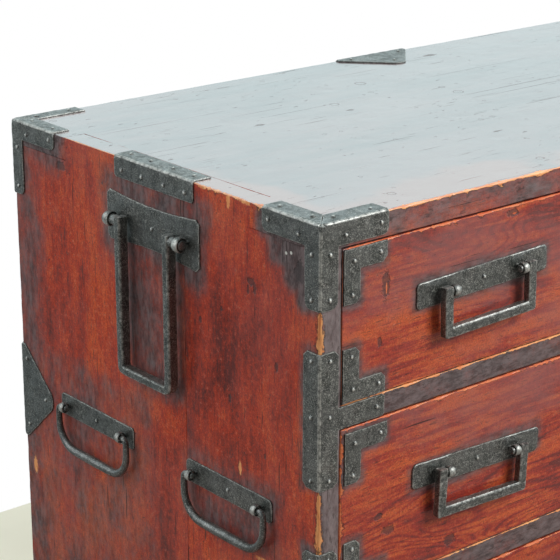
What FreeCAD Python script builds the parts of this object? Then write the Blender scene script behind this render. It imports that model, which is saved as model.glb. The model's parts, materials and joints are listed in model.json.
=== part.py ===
import FreeCAD, Part
import math
import os

import Sketcher

# A low chest of three drawers in lacquered wood with nailed irons.
#
# Frame: millimetres, +X to the right seen from the front, +Y to the back, +Z up. The origin is the
# middle of the case's underside. The front face of the case lies at y = -case_depth / 2.
#
# Every driving size is a cell of the sheet "Sizes". A Size carries a number and the sheet expression
# that gives it, so the shape built here and the expression bound to it can't drift apart.

DRIVING_SIZES = {
    # case
    "case_width": (820.0, "over the side boards"),
    "case_depth": (400.0, "front face to rear face"),
    "board": (20.0, "thickness of the case boards"),
    "finger": (79.0, "length of the end fingers of the top and bottom boards"),
    "side_split": (160.0, "front face to the joint between the two boards of a side"),
    "back_board": (8.0, "thickness of the back"),
    "upper_opening": (120.5, "height of the upper drawer opening"),
    "middle_opening": (140.0, "height of the middle drawer opening"),
    "lower_opening": (153.5, "height of the lower drawer opening"),
    "upper_rail_height": (18.5, "rail between the upper and middle drawers"),
    "lower_rail_height": (19.5, "rail between the middle and lower drawers"),
    "rail_depth": (45.0, "front to back"),
    "shelf": (9.0, "thickness of the boards that carry the drawers"),
    "housing": (5.0, "depth of the grooves in the sides for rails and shelves"),
    # drawers
    "front_board": (18.0, "thickness of a drawer front"),
    "front_lap": (9.0, "what stays in front of a drawer's sides and bottom"),
    "drawer_side": (11.0, "thickness of a drawer's sides and back"),
    "drawer_bottom": (7.0, "thickness of a drawer's bottom"),
    "side_gap": (0.8, "drawer to case, each side"),
    "top_gap": (1.3, "drawer to the rail above"),
    "run_gap": (0.3, "drawer to the shelf under it and to the back"),
    # irons
    "iron": (1.4, "thickness of the plates"),
    "corner_arm": (64.0, "reach of a corner iron's arms from the corner"),
    "front_iron_width": (17.5, "arms of the front corner irons"),
    "rear_iron_width": (15.0, "arms of the rear corner irons"),
    "front_iron_leg": (16.0, "width of the front corner irons' upright legs"),
    "rear_iron_leg": (15.0, "width of the rear corner irons' upright legs"),
    "corner_round": (6.0, "rounding at the ends of the corner irons"),
    "corner_nail": (22.5, "corner to the inner nail of each arm"),
    "corner_tip_nail": (7.5, "tip of an arm to its last nail"),
    "cap_nail": (19.0, "corner to the inner nail of each arm on the top"),
    "cap_tip_nail": (11.0, "tip of an arm to its last nail, on the top"),
    "post_iron_height": (108.0, "iron folded round a post at a rail"),
    "post_iron_width": (17.0, "on the side face"),
    "post_iron_face": (17.5, "on the front face"),
    "rail_leg": (63.0, "reach of the post iron along the rail"),
    "rail_leg_margin": (0.5, "bare wood above and under the leg on a rail"),
    "post_tip_nail": (7.0, "ends of the post iron to its outer nails"),
    "post_middle_nail": (3.3, "middle of the post iron up to its middle nail"),
    "leg_tip_nail": (8.0, "end of the leg to its nail"),
    "clip": (4.0, "corners cut off the plates"),
    "strap_forward": (2.5, "middle of the depth, forward to the middle of the strap over a side"),
    "strap_length": (103.0, "along that edge"),
    "strap_width": (17.0, "on each face"),
    "edge_plate_length": (88.0, "pointed plate, along the edge it folds over"),
    "edge_plate_reach": (47.0, "from that edge to its nose"),
    "edge_plate_nose": (9.0, "half the width of the rounded nose"),
    "edge_plate_round": (4.0, "depth of the rounded nose"),
    "edge_plate_foot": (5.0, "square foot of the plate at the edge"),
    "edge_plate_end_nail": (13.0, "end of the plate to a nail, along the edge"),
    "edge_plate_foot_nail": (3.0, "foot to those nails, away from the edge"),
    "edge_plate_nose_nail": (11.0, "nose to its nail"),
    "angle_leg": (42.0, "legs of a drawer's corner irons"),
    "angle_width": (16.0, "width of those legs"),
    "angle_tip_nail": (6.8, "end of a leg to its nail"),
    "upper_inset": (0.6, "upper drawer's edge to its corner irons"),
    "middle_inset": (3.6, "the same on the middle drawer"),
    "lower_inset": (2.0, "the same on the lower drawer"),
    # drawer handles
    "handle_inset": (164.0, "case side to the middle of a drawer handle"),
    "plate_length": (140.0, "drawer handle plate"),
    "plate_height": (21.0, "drawer handle plate"),
    "plate_round": (4.0, "its corners"),
    "upper_handle_drop": (51.8, "top of the opening to the handle's pivot, upper drawer"),
    "middle_handle_drop": (63.2, "the same, middle drawer"),
    "lower_handle_drop": (70.0, "the same, lower drawer"),
    "upper_tilt": (1.4, "degrees that the upper handles rise towards the middle"),
    "middle_tilt": (-2.3, "the same, middle drawer"),
    "lower_tilt": (0.6, "the same, lower drawer"),
    "bail_width": (98.6, "drawer bail, outside"),
    "bail_drop": (36.4, "pivot to the underside of the bail"),
    "bail_face": (8.6, "bar of the bail, seen from the front"),
    "bail_bar": (7.2, "bar of the bail, front to back"),
    "bail_head": (4.3, "bar above the pivot"),
    "bail_standoff": (7.5, "wood to the pivot"),
    "pintle": (2.9, "radius of the bail's turned-in ends"),
    "pintle_length": (9.0, "their length"),
    "pintle_root": (1.0, "how far a pintle starts inside its leg"),
    "pivot_clearance": (0.06, "radial, between a pintle and its eye"),
    "eye_wall": (1.7, "metal round the eye of a split pin"),
    "eye_width": (6.0, "along the pintle"),
    "eye_gap": (0.6, "between an eye and the bail's leg"),
    "pin_shank": (2.3, "radius of a split pin"),
    "clinch": (12.0, "reach of each end of a split pin, turned over inside"),
    "clinch_width": (3.6, "its width"),
    "clinch_thickness": (1.6, "its thickness"),
    # side handles
    "carry_forward": (0.5, "middle of the depth, forward to the middle of the long handle"),
    "carry_drop": (49.6, "top of the case to its pivot"),
    "carry_plate_length": (121.0, "plate of the long handle"),
    "carry_plate_end": (42.0, "height of the plate at its ends"),
    "carry_plate_waist": (3.5, "how far its long edges are dished"),
    "carry_width": (71.0, "long handle, outside"),
    "carry_reach": (128.0, "pivot to the underside of the handle"),
    "carry_face": (7.2, "bar, seen from the side of the case"),
    "carry_bar": (9.6, "bar, out from the case"),
    "carry_round": (9.0, "outer corners at the bottom"),
    "carry_head": (4.8, "bar above the pivot"),
    "carry_standoff": (8.6, "wood to the pivot"),
    "carry_pintle": (4.4, "radius of its turned-out ends"),
    "carry_eye_place": (46.0, "middle of the handle to the middle of an eye"),
    "carry_eye_width": (7.0, "along the pintle"),
    "carry_eye_wall": (2.0, "metal round the eye"),
    "front_lift_centre": (106.0, "front face to the middle of the front small handle"),
    "rear_lift_centre": (115.0, "rear face to the middle of the rear small handle"),
    "lift_drop": (239.5, "top of the case to their pivots"),
    "lift_plate_length": (107.0, "plate of a small handle"),
    "lift_plate_height": (19.5, "plate of a small handle"),
    "lift_width": (99.4, "bow, between the middles of its upright ends"),
    "lift_reach": (36.2, "pivot to the middle of the bow's bar"),
    "lift_bar": (3.1, "radius of the bow's bar"),
    "lift_shoulder": (4.4, "radius of the bends over the eyes"),
    "lift_bend": (22.0, "radius of the bow's lower bends"),
    "lift_pintle_end": (37.0, "middle of the bow to the tip of its turned-in ends"),
    "lift_eye_place": (41.4, "middle of the bow to the middle of an eye"),
    "lift_eye_width": (5.4, "along the pintle"),
    "lift_standoff": (6.6, "wood to the pivot"),
    # nails
    "nail_head": (2.3, "radius of a nail's domed head"),
    "nail_dome": (1.2, "height of the dome"),
    "nail_shank": (1.1, "radius"),
    "nail_reach": (6.5, "length in the wood"),
    "nail_play": (0.05, "radial, round the shank"),
}

DOC = FreeCAD.newDocument("Chest")
SHEET = DOC.addObject("Spreadsheet::Sheet", "Sizes")


class Size:
    """A length that holds its number and the sheet expression that gives it."""

    def __init__(self, value, text):
        self.value = float(value)
        self.text = text

    @staticmethod
    def of(other):
        """The same thing as a Size, whether it is one already or a plain number."""
        if isinstance(other, Size):
            return other
        return Size(other, "(%s)" % repr(float(other)))

    def __add__(self, other):
        other = Size.of(other)
        return Size(self.value + other.value, "(%s + %s)" % (self.text, other.text))

    def __radd__(self, other):
        return Size.of(other) + self

    def __sub__(self, other):
        other = Size.of(other)
        return Size(self.value - other.value, "(%s - %s)" % (self.text, other.text))

    def __rsub__(self, other):
        return Size.of(other) - self

    def __mul__(self, other):
        other = Size.of(other)
        return Size(self.value * other.value, "(%s * %s)" % (self.text, other.text))

    __rmul__ = __mul__

    def __truediv__(self, other):
        other = Size.of(other)
        return Size(self.value / other.value, "(%s / %s)" % (self.text, other.text))

    def __neg__(self):
        return Size(0.0, "0") - self


class Sizes:
    """Every cell of the sheet, as an attribute that is a Size."""

    def __init__(self, table):
        for row, (alias, (value, note)) in enumerate(table.items(), start=1):
            SHEET.set("A%d" % row, alias)
            SHEET.set("B%d" % row, str(value))
            SHEET.set("C%d" % row, note)
            SHEET.setAlias("B%d" % row, alias)
            setattr(self, alias, Size(value, "Sizes.%s" % alias))


S = Sizes(DRIVING_SIZES)
DOC.recompute()

# Places that several pieces share.
HALF_WIDTH = S.case_width / 2
FRONT = -S.case_depth / 2
REAR = S.case_depth / 2
INSIDE = HALF_WIDTH - S.board
LOWER_FLOOR = S.board
LOWER_RAIL_UNDER = LOWER_FLOOR + S.lower_opening
MIDDLE_FLOOR = LOWER_RAIL_UNDER + S.lower_rail_height
UPPER_RAIL_UNDER = MIDDLE_FLOOR + S.middle_opening
UPPER_FLOOR = UPPER_RAIL_UNDER + S.upper_rail_height
TOP_UNDER = UPPER_FLOOR + S.upper_opening
CASE_HEIGHT = TOP_UNDER + S.board
REAR_OF_DRAWERS = REAR - S.back_board - S.run_gap
DRAWER_HALF = INSIDE - S.side_gap
CARRY_MIDDLE = -S.carry_forward
FRONT_LIFT_MIDDLE = FRONT + S.front_lift_centre
REAR_LIFT_MIDDLE = REAR - S.rear_lift_centre

NODES = {}

# Lines that nails stand on, as shares of a plate's width from its outer edge.
OUTER_LINE = 0.4
NEAR_LINE = 0.45
FAR_LINE = 0.6
# Nails along the strap over a side, as shares of its length.
STRAP_NAILS = (0.1, 0.36, 0.64, 0.9)
# How far a tool that cuts or trims a piece reaches past it.
SPARE = 1.0


# ---------------------------------------------------------------------------------------------
# helpers


def bind(thing, path, size):
    """Bind one property of a document object, or one constraint of a sketch, to the sheet."""
    thing.setExpression(path, Size.of(size).text)


def place(thing, x=0.0, y=0.0, z=0.0, axis=None, angle=0.0):
    """Give an object its Placement, bound to the sheet, with an optional turn about one axis."""
    x, y, z, angle = (Size.of(v) for v in (x, y, z, angle))
    turn = FreeCAD.Rotation()
    if axis is not None:
        turn = FreeCAD.Rotation(FreeCAD.Vector(*axis), angle.value)
    thing.Placement = FreeCAD.Placement(FreeCAD.Vector(x.value, y.value, z.value), turn)
    bind(thing, "Placement.Base.x", x)
    bind(thing, "Placement.Base.y", y)
    bind(thing, "Placement.Base.z", z)
    if axis is not None:
        bind(thing, "Placement.Rotation.Angle", angle)


def box(name, low, high):
    """A Part::Box between two corners, bound to the sheet."""
    block = DOC.addObject("Part::Box", name)
    for side, a, b in zip(("Length", "Width", "Height"), low, high):
        bind(block, side, Size.of(b) - Size.of(a))
    place(block, *low)
    return block


def rod(name, radius, length, centre, axis):
    """A Part::Cylinder whose middle is at centre and whose axis is "x", "y" or "z"."""
    cylinder = DOC.addObject("Part::Cylinder", name)
    bind(cylinder, "Radius", radius)
    bind(cylinder, "Height", length)
    x, y, z = (Size.of(v) for v in centre)
    half = Size.of(length) / 2
    if axis == "x":
        place(cylinder, x - half, y, z, (0, 1, 0), 90.0)
    elif axis == "y":
        place(cylinder, x, y - half, z, (1, 0, 0), -90.0)
    else:
        place(cylinder, x, y, z - half)
    return cylinder


def fuse(name, pieces):
    """One solid from several that meet."""
    joined = DOC.addObject("Part::MultiFuse", name)
    joined.Shapes = pieces
    joined.Refine = True
    return joined


def cut(name, base, tool):
    """base with tool taken away."""
    result = DOC.addObject("Part::Cut", name)
    result.Base = base
    result.Tool = tool
    return result


def mirror(name, source, normal=(1, 0, 0), through=(0.0, 0.0, 0.0)):
    """A mirror copy about a plane with this normal; through is a point on the plane."""
    copy = DOC.addObject("Part::Mirroring", name)
    copy.Source = source
    copy.Normal = FreeCAD.Vector(*normal)
    for path, size in zip(("Base.x", "Base.y", "Base.z"), through):
        bind(copy, path, size)
    return copy


def group(name, pieces):
    """Several separate solids in one object."""
    together = DOC.addObject("Part::Compound", name)
    together.Links = pieces
    return together


def node(name, thing):
    """Keep an object as a sub-part: its label names its file."""
    thing.Label = name
    NODES[name] = thing
    return thing


def new_body(name):
    return DOC.addObject("PartDesign::Body", name)


def origin_plane(body, role):
    """One of the body's own origin planes."""
    for feature in body.Origin.OriginFeatures:
        if feature.Role == role:
            return feature
    raise RuntimeError("no plane %s in %s" % (role, body.Name))


def rounded(point, towards, radius):
    """Where a right-angled corner's rounding meets the edge that leads to the point towards."""
    a, b = point
    step_a = towards[0].value - a.value
    step_b = towards[1].value - b.value
    if abs(step_a) > abs(step_b):
        return (a + radius * math.copysign(1.0, step_a), b)
    return (a, b + radius * math.copysign(1.0, step_b))


def corners(points):
    """Turn an outline's corners into plain vertices.

    A point is (a, b), (a, b, "clip", c) for a corner cut off at c along both edges, or
    (a, b, "round", r) for a right-angled corner rounded to r, or (a, b, "arc", r) where the edge
    to the next point is an arc of radius r, negative if it turns clockwise. The result is a list of
    (a, b, radius of the edge that follows or None).
    """
    plain = [(Size.of(p[0]), Size.of(p[1])) for p in points]
    turning = sum(p[0].value * q[1].value - q[0].value * p[1].value
                  for p, q in zip(plain, plain[1:] + plain[:1]))
    way = math.copysign(1.0, turning)
    vertices = []
    for index, point in enumerate(points):
        here = plain[index]
        before = plain[index - 1]
        after = plain[(index + 1) % len(plain)]
        style = point[2] if len(point) > 2 else None
        if style in ("clip", "round"):
            amount = Size.of(point[3])
            first = rounded(here, before, amount)
            second = rounded(here, after, amount)
            cross = ((here[0].value - before[0].value) * (after[1].value - here[1].value)
                     - (here[1].value - before[1].value) * (after[0].value - here[0].value))
            bend = amount * math.copysign(1.0, cross) if style == "round" else None
            vertices.append((first[0], first[1], bend))
            vertices.append((second[0], second[1], None))
        elif style == "arc":
            vertices.append((here[0], here[1], Size.of(point[3]) * way))
        else:
            vertices.append((here[0], here[1], None))
    return vertices


def arc_between(start, end, radius):
    """The minor arc from start to end; a negative radius turns clockwise."""
    chord = end - start
    rise = math.sqrt(max(radius * radius - chord.Length * chord.Length / 4.0, 0.0))
    normal = FreeCAD.Vector(-chord.y, chord.x, 0).normalize()
    centre = (start + end) / 2.0 + normal * rise * math.copysign(1.0, radius)
    middle = centre + ((start + end) / 2.0 - centre).normalize() * abs(radius)
    if rise < 1e-9:
        middle = centre - normal * radius
    return Part.Arc(start, middle, end)


def draw(sketch, vertices, closed=True):
    """An outline or a path: every vertex is held by two bound distances, every arc by its radius."""
    places = [FreeCAD.Vector(a.value, b.value, 0) for a, b, bend in vertices]
    edges = len(vertices) if closed else len(vertices) - 1
    shapes = []
    for index, (a, b, bend) in enumerate(vertices[:edges]):
        start, end = places[index], places[(index + 1) % len(places)]
        if bend is None:
            shapes.append(Part.LineSegment(start, end))
        else:
            shapes.append(arc_between(start, end, bend.value))
    first = sketch.GeometryCount
    sketch.addGeometry(shapes, False)
    # An arc is kept counter-clockwise, so a clockwise one starts at its far end.
    starts = [2 if v[2] is not None and v[2].value < 0 else 1 for v in vertices[:edges]]
    ends = [1 if start == 2 else 2 for start in starts]
    rules = []
    bound = []
    for index, (a, b, bend) in enumerate(vertices):
        last = index == edges
        edge, point = (index - 1, ends[index - 1]) if last else (index, starts[index])
        for kind, size in (("DistanceX", a), ("DistanceY", b)):
            bound.append((len(rules), size))
            rules.append(Sketcher.Constraint(kind, -1, 1, first + edge, point, size.value))
        if last:
            break
        following = (index + 1) % len(vertices)
        if following < edges:
            rules.append(Sketcher.Constraint("Coincident", first + index, ends[index],
                                             first + following, starts[following]))
        if bend is not None:
            size = bend if bend.value > 0 else -bend
            bound.append((len(rules), size))
            rules.append(Sketcher.Constraint("Radius", first + index, size.value))
    base = sketch.ConstraintCount
    sketch.addConstraint(rules)
    for number, size in bound:
        bind(sketch, "Constraints[%d]" % (base + number), size)


def draw_circle(sketch, a, b, radius):
    """A circle held by its middle and its radius."""
    a, b, radius = (Size.of(v) for v in (a, b, radius))
    circle = Part.Circle(FreeCAD.Vector(a.value, b.value, 0), FreeCAD.Vector(0, 0, 1), radius.value)
    number = sketch.addGeometry(circle, False)
    base = sketch.ConstraintCount
    sketch.addConstraint([
        Sketcher.Constraint("DistanceX", -1, 1, number, 3, a.value),
        Sketcher.Constraint("DistanceY", -1, 1, number, 3, b.value),
        Sketcher.Constraint("Radius", number, radius.value),
    ])
    for step, size in enumerate((a, b, radius)):
        bind(sketch, "Constraints[%d]" % (base + step), size)


PLANES = {"x": "YZ_Plane", "y": "XZ_Plane", "z": "XY_Plane"}


def sketch_on(body, axis, at):
    """A sketch square to an axis, at a place along it. Its own axes are the row's other two."""
    sketch = body.newObject("Sketcher::SketchObject", body.Name + "_outline")
    sketch.AttachmentSupport = (origin_plane(body, PLANES[axis]), [""])
    sketch.MapMode = "FlatFace"
    # The XZ plane faces -Y, so its offset is counted the other way.
    offset = -at if axis == "y" else at
    sketch.AttachmentOffset = FreeCAD.Placement(FreeCAD.Vector(0, 0, offset.value), FreeCAD.Rotation())
    bind(sketch, "AttachmentOffset.Base.z", offset)
    return sketch


def slab(body, axis, low, high, points=None, circle=None, hollow=False):
    """Pad an outline, or cut it away, between two places along an axis of the row."""
    low, high = Size.of(low), Size.of(high)
    sketch = sketch_on(body, axis, high if axis == "y" else low)
    if points is not None:
        draw(sketch, corners(points))
    if circle is not None:
        draw_circle(sketch, *circle)
    kind = "PartDesign::Pocket" if hollow else "PartDesign::Pad"
    feature = body.newObject(kind, body.Name + ("_cut" if hollow else "_pad"))
    feature.Profile = sketch
    # A pocket goes into the solid against the sketch's normal unless it is reversed.
    feature.Reversed = hollow
    bind(feature, "Length", high - low)
    body.Tip = feature
    return feature


def rectangle(a0, b0, a1, b1):
    return [(a0, b0), (a1, b0), (a1, b1), (a0, b1)]


class Nails:
    """The nails of one group, and the holes that they need in plates and boards."""

    def __init__(self):
        self.places = []

    def add(self, x, y, z, out):
        """One nail through a plate: the head's seat and the direction that it faces."""
        seat = [Size.of(v).value for v in (x, y, z)]
        self.places.append((FreeCAD.Vector(*seat), FreeCAD.Vector(*out)))

    def mirrored(self):
        """Add each nail's mirror copy on the other side of the case."""
        for seat, out in list(self.places):
            self.places.append((FreeCAD.Vector(-seat.x, seat.y, seat.z),
                                FreeCAD.Vector(-out.x, out.y, out.z)))

    def shape(self):
        """Domed heads on short shanks."""
        sphere = (S.nail_head.value ** 2 + S.nail_dome.value ** 2) / (2 * S.nail_dome.value)
        ball = Part.makeSphere(sphere, FreeCAD.Vector(0, 0, S.nail_dome.value - sphere))
        keep = Part.makeCylinder(S.nail_head.value + SPARE, S.nail_dome.value + SPARE)
        depth = S.iron.value + S.nail_reach.value
        shank = Part.makeCylinder(S.nail_shank.value, depth, FreeCAD.Vector(0, 0, -depth))
        nail = ball.common(keep).fuse(shank).removeSplitter()
        return Part.makeCompound([self.put(nail, seat, out) for seat, out in self.places])

    def holes(self, target):
        """The nail holes that reach one board or plate."""
        play = S.nail_play.value
        depth = S.iron.value + S.nail_reach.value + play
        start = FreeCAD.Vector(0, 0, -depth)
        hole = Part.makeCylinder(S.nail_shank.value + play, depth + SPARE, start)
        # A nail's hole starts at its seat, so one on the far side of a board is left alone.
        found = [self.put(hole, seat, out) for seat, out in self.places]
        near = [shape for shape in found if shape.BoundBox.intersect(target.Shape.BoundBox)]
        return [shape for shape in near if shape.common(target.Shape).Volume > 1e-6]

    @staticmethod
    def put(shape, seat, out):
        turn = FreeCAD.Rotation(FreeCAD.Vector(0, 0, 1), out)
        return shape.transformed(FreeCAD.Placement(seat, turn).toMatrix())


def drilled(name, thing, nails):
    """The piece with its nail holes."""
    DOC.recompute()
    holes = nails.holes(thing)
    if not holes:
        return thing
    tool = DOC.addObject("Part::Feature", name + "_holes")
    tool.Shape = Part.makeCompound(holes)
    return cut(name + "_drilled", thing, tool)


def nail_group(name, nails):
    """A group of nails as a node."""
    feature = DOC.addObject("Part::Feature", name)
    feature.Shape = nails.shape()
    feature.Placement = FreeCAD.Placement()
    return node(name, feature)


# ---------------------------------------------------------------------------------------------
# case boards


def housing_outlines():
    """The groove that takes each rail and the shelf behind it, seen from the side."""
    behind = FRONT + S.rail_depth
    for under, floor in ((LOWER_RAIL_UNDER, MIDDLE_FLOOR), (UPPER_RAIL_UNDER, UPPER_FLOOR)):
        yield [(FRONT, under), (behind, under), (behind, floor - S.shelf),
               (REAR - S.back_board, floor - S.shelf), (REAR - S.back_board, floor), (FRONT, floor)]


def side_pin_places():
    """Where the split pins of the side handles go through a side: y and z."""
    carry = CASE_HEIGHT - S.carry_drop
    lift = CASE_HEIGHT - S.lift_drop
    for way in (-1, 1):
        yield CARRY_MIDDLE + S.carry_eye_place * way, carry
        yield FRONT_LIFT_MIDDLE + S.lift_eye_place * way, lift
        yield REAR_LIFT_MIDDLE + S.lift_eye_place * way, lift


def side_boards():
    """Each side is two boards edge to edge; the top's and bottom's fingers show at their corners."""
    outer = -HALF_WIDTH
    inner = -INSIDE
    split = FRONT + S.side_split
    boards = {}
    for part, edge, finger in (("front", FRONT, FRONT + S.finger), ("rear", REAR, REAR - S.finger)):
        body = new_body("left_side_%s_board" % part)
        slab(body, "x", outer, inner, [
            (edge, S.board), (finger, S.board), (finger, 0.0), (split, 0.0),
            (split, CASE_HEIGHT), (finger, CASE_HEIGHT), (finger, TOP_UNDER), (edge, TOP_UNDER),
        ])
        for outline in housing_outlines():
            slab(body, "x", inner - S.housing, inner, outline, hollow=True)
        for y, z in side_pin_places():
            if (y.value < split.value) == (part == "front"):
                slab(body, "x", outer, inner, circle=(y, z, S.pin_shank + S.nail_play), hollow=True)
                half = S.clinch_width / 2 + S.nail_play
                reach = S.clinch + S.nail_play
                slab(body, "x", inner - S.clinch_thickness - S.run_gap, inner,
                     rectangle(y - half, z - reach, y + half, z + reach), hollow=True)
        boards[part] = body
    return boards


def end_board(name, low, high):
    """Top or bottom: full width at its four fingers, between the sides elsewhere."""
    body = new_body(name)
    front_finger = FRONT + S.finger
    rear_finger = REAR - S.finger
    slab(body, "z", low, high, [
        (-HALF_WIDTH, FRONT), (HALF_WIDTH, FRONT), (HALF_WIDTH, front_finger), (INSIDE, front_finger),
        (INSIDE, rear_finger), (HALF_WIDTH, rear_finger), (HALF_WIDTH, REAR), (-HALF_WIDTH, REAR),
        (-HALF_WIDTH, rear_finger), (-INSIDE, rear_finger), (-INSIDE, front_finger),
        (-HALF_WIDTH, front_finger),
    ])
    return body


def rails():
    """The rails between the drawers, let into the sides."""
    end = INSIDE + S.housing
    behind = FRONT + S.rail_depth
    upper = box("upper_rail_wood", (-end, FRONT, UPPER_RAIL_UNDER), (end, behind, UPPER_FLOOR))
    lower = box("lower_rail_wood", (-end, FRONT, LOWER_RAIL_UNDER), (end, behind, MIDDLE_FLOOR))
    return upper, lower


def shelf_boards():
    """The boards behind the rails that the drawers slide on."""
    end = INSIDE + S.housing
    boards = []
    for word, floor in (("upper", UPPER_FLOOR), ("middle", MIDDLE_FLOOR)):
        boards.append(box("%s_shelf" % word, (-end, FRONT + S.rail_depth, floor - S.shelf),
                          (end, REAR - S.back_board, floor)))
    return group("shelves", boards)


# ---------------------------------------------------------------------------------------------
# irons of the case; each is made for the left side and mirrored to the right


def corner_iron(name, at_front, at_top, nails):
    """Arms along the edges that meet at one corner, folded over them; a top one has a cap."""
    t = S.iron
    edge, inward = (FRONT, 1.0) if at_front else (REAR, -1.0)
    width = S.front_iron_width if at_front else S.rear_iron_width
    leg = S.front_iron_leg if at_front else S.rear_iron_leg
    lip = t if at_top else Size(0.0, "0")
    arm, turn = S.corner_arm, S.corner_round

    def across(u):
        return edge + Size.of(u) * inward

    def along(u):
        return -HALF_WIDTH + u

    def down(v):
        return CASE_HEIGHT - v if at_top else Size.of(v)

    def angle(place_u, place_v):
        return [
            (place_u(-t), place_v(-lip)), (place_u(arm), place_v(-lip)),
            (place_u(arm), place_v(width), "round", turn), (place_u(leg), place_v(width)),
            (place_u(leg), place_v(arm), "round", turn), (place_u(-t), place_v(arm)),
        ]

    body = new_body(name)
    slab(body, "x", -HALF_WIDTH - t, -HALF_WIDTH, angle(across, down))
    face = (FRONT - t, FRONT) if at_front else (REAR, REAR + t)
    slab(body, "y", face[0], face[1], angle(along, down))
    facing = (0, -1, 0) if at_front else (0, 1, 0)
    outside = face[0] if at_front else face[1]
    middle = width / 2
    tip = arm - S.corner_tip_nail
    inner = S.corner_nail
    for u, v in ((inner, width * FAR_LINE), (tip, width * NEAR_LINE), (leg / 2, inner), (leg / 2, tip)):
        nails.add(-HALF_WIDTH - t, across(u), down(v), (-1, 0, 0))
        nails.add(along(u), outside, down(v), facing)
    if at_top:
        slab(body, "z", CASE_HEIGHT, CASE_HEIGHT + t, [
            (along(-t), across(-t)), (along(arm), across(-t)), (along(arm), across(width)),
            (along(width), across(width)), (along(width), across(arm)), (along(-t), across(arm)),
        ])
        for u, v in ((S.cap_nail, middle), (arm - S.cap_tip_nail, width * OUTER_LINE)):
            nails.add(along(u), across(v), CASE_HEIGHT + t, (0, 0, 1))
            nails.add(along(v), across(u), CASE_HEIGHT + t, (0, 0, 1))
    return body


def post_iron(name, rail_under, rail_top, nails):
    """Folded round the front post, with a leg along the rail."""
    t = S.iron
    body = new_body(name)
    middle = (rail_under + rail_top) / 2
    top = middle + S.post_iron_height / 2
    bottom = middle - S.post_iron_height / 2
    depth = FRONT + S.post_iron_width
    clip = S.clip
    slab(body, "x", -HALF_WIDTH - t, -HALF_WIDTH, [
        (FRONT - t, bottom), (depth, bottom, "clip", clip), (depth, top, "clip", clip), (FRONT - t, top),
    ])
    face = -HALF_WIDTH + S.post_iron_face
    reach = -HALF_WIDTH + S.rail_leg
    over = rail_top - S.rail_leg_margin
    under = rail_under + S.rail_leg_margin
    slab(body, "y", FRONT - t, FRONT, [
        (-HALF_WIDTH - t, bottom), (face, bottom, "clip", clip), (face, under),
        (reach, under, "clip", clip / 2), (reach, over, "clip", clip / 2), (face, over),
        (face, top, "clip", clip), (-HALF_WIDTH - t, top),
    ])
    end = S.post_iron_height / 2 - S.post_tip_nail
    for z in (middle - end, middle + S.post_middle_nail, middle + end):
        nails.add(-HALF_WIDTH - t, FRONT + S.post_iron_width * NEAR_LINE, z, (-1, 0, 0))
        nails.add(-HALF_WIDTH + S.post_iron_face / 2, FRONT - t, z, (0, -1, 0))
    nails.add(-HALF_WIDTH + S.rail_leg - S.leg_tip_nail, FRONT - t, middle, (0, -1, 0))
    return body


def side_strap(name, nails):
    """Folded over the top edge of a side."""
    t = S.iron
    body = new_body(name)
    near = -S.strap_forward - S.strap_length / 2
    far = near + S.strap_length
    low = CASE_HEIGHT - S.strap_width
    slab(body, "x", -HALF_WIDTH - t, -HALF_WIDTH, [
        (near, low, "clip", S.clip / 2), (far, low, "clip", S.clip / 2),
        (far, CASE_HEIGHT + t), (near, CASE_HEIGHT + t),
    ])
    slab(body, "z", CASE_HEIGHT, CASE_HEIGHT + t,
         rectangle(-HALF_WIDTH - t, near, -HALF_WIDTH + S.strap_width, far))
    for share in STRAP_NAILS:
        y = near + S.strap_length * share
        nails.add(-HALF_WIDTH - t, y, CASE_HEIGHT - S.strap_width * FAR_LINE, (-1, 0, 0))
        nails.add(-HALF_WIDTH + S.strap_width / 2, y, CASE_HEIGHT + t, (0, 0, 1))
    return body


def leaf_outline(leaf, place_point):
    """A leaf's outline put on a face; place_point gives the sketch's two coordinates."""
    return [place_point(Size.of(p[0]), Size.of(p[1])) + tuple(p[2:]) for p in leaf]


def pointed_leaf():
    """Corner points of one leaf: distance from the folded edge, distance along it."""
    half = S.edge_plate_length / 2
    shoulder = S.edge_plate_reach - S.edge_plate_round
    nose = S.edge_plate_nose
    radius = (nose * nose + S.edge_plate_round * S.edge_plate_round) / (S.edge_plate_round * 2.0)
    return [
        (-S.iron, -half), (S.edge_plate_foot, -half), (shoulder, -nose, "arc", radius), (shoulder, nose),
        (S.edge_plate_foot, half), (-S.iron, half),
    ]


def leaf_nails():
    """Where the nails of one leaf go, in the same two distances."""
    spread = S.edge_plate_length / 2 - S.edge_plate_end_nail
    foot = S.edge_plate_foot + S.edge_plate_foot_nail
    nose = S.edge_plate_reach - S.edge_plate_nose_nail
    return [(foot, -spread), (foot, spread), (nose, Size(0.0, "0"))]


def rear_edge_plate(name, nails):
    """Pointed plate folded round the rear edge of a side at mid height."""
    t = S.iron
    middle = CASE_HEIGHT / 2
    body = new_body(name)
    slab(body, "x", -HALF_WIDTH - t, -HALF_WIDTH,
         leaf_outline(pointed_leaf(), lambda u, v: (REAR - u, middle + v)))
    slab(body, "y", REAR, REAR + t, leaf_outline(pointed_leaf(), lambda u, v: (-HALF_WIDTH + u, middle + v)))
    for u, v in leaf_nails():
        nails.add(-HALF_WIDTH - t, REAR - u, middle + v, (-1, 0, 0))
        nails.add(-HALF_WIDTH + u, REAR + t, middle + v, (0, 1, 0))
    return body


def rear_top_plate(name, nails):
    """The same plate folded over the rear edge of the top."""
    t = S.iron
    body = new_body(name)
    slab(body, "z", CASE_HEIGHT, CASE_HEIGHT + t, leaf_outline(pointed_leaf(), lambda u, v: (v, REAR - u)))
    slab(body, "y", REAR, REAR + t, leaf_outline(pointed_leaf(), lambda u, v: (v, CASE_HEIGHT - u)))
    for u, v in leaf_nails():
        nails.add(v, REAR - u, CASE_HEIGHT + t, (0, 0, 1))
        nails.add(v, REAR + t, CASE_HEIGHT - u, (0, 1, 0))
    return body


# ---------------------------------------------------------------------------------------------
# handles, made in a frame of their own: the wood's face is y = 0 and faces -y, the pivot is z = 0


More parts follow.
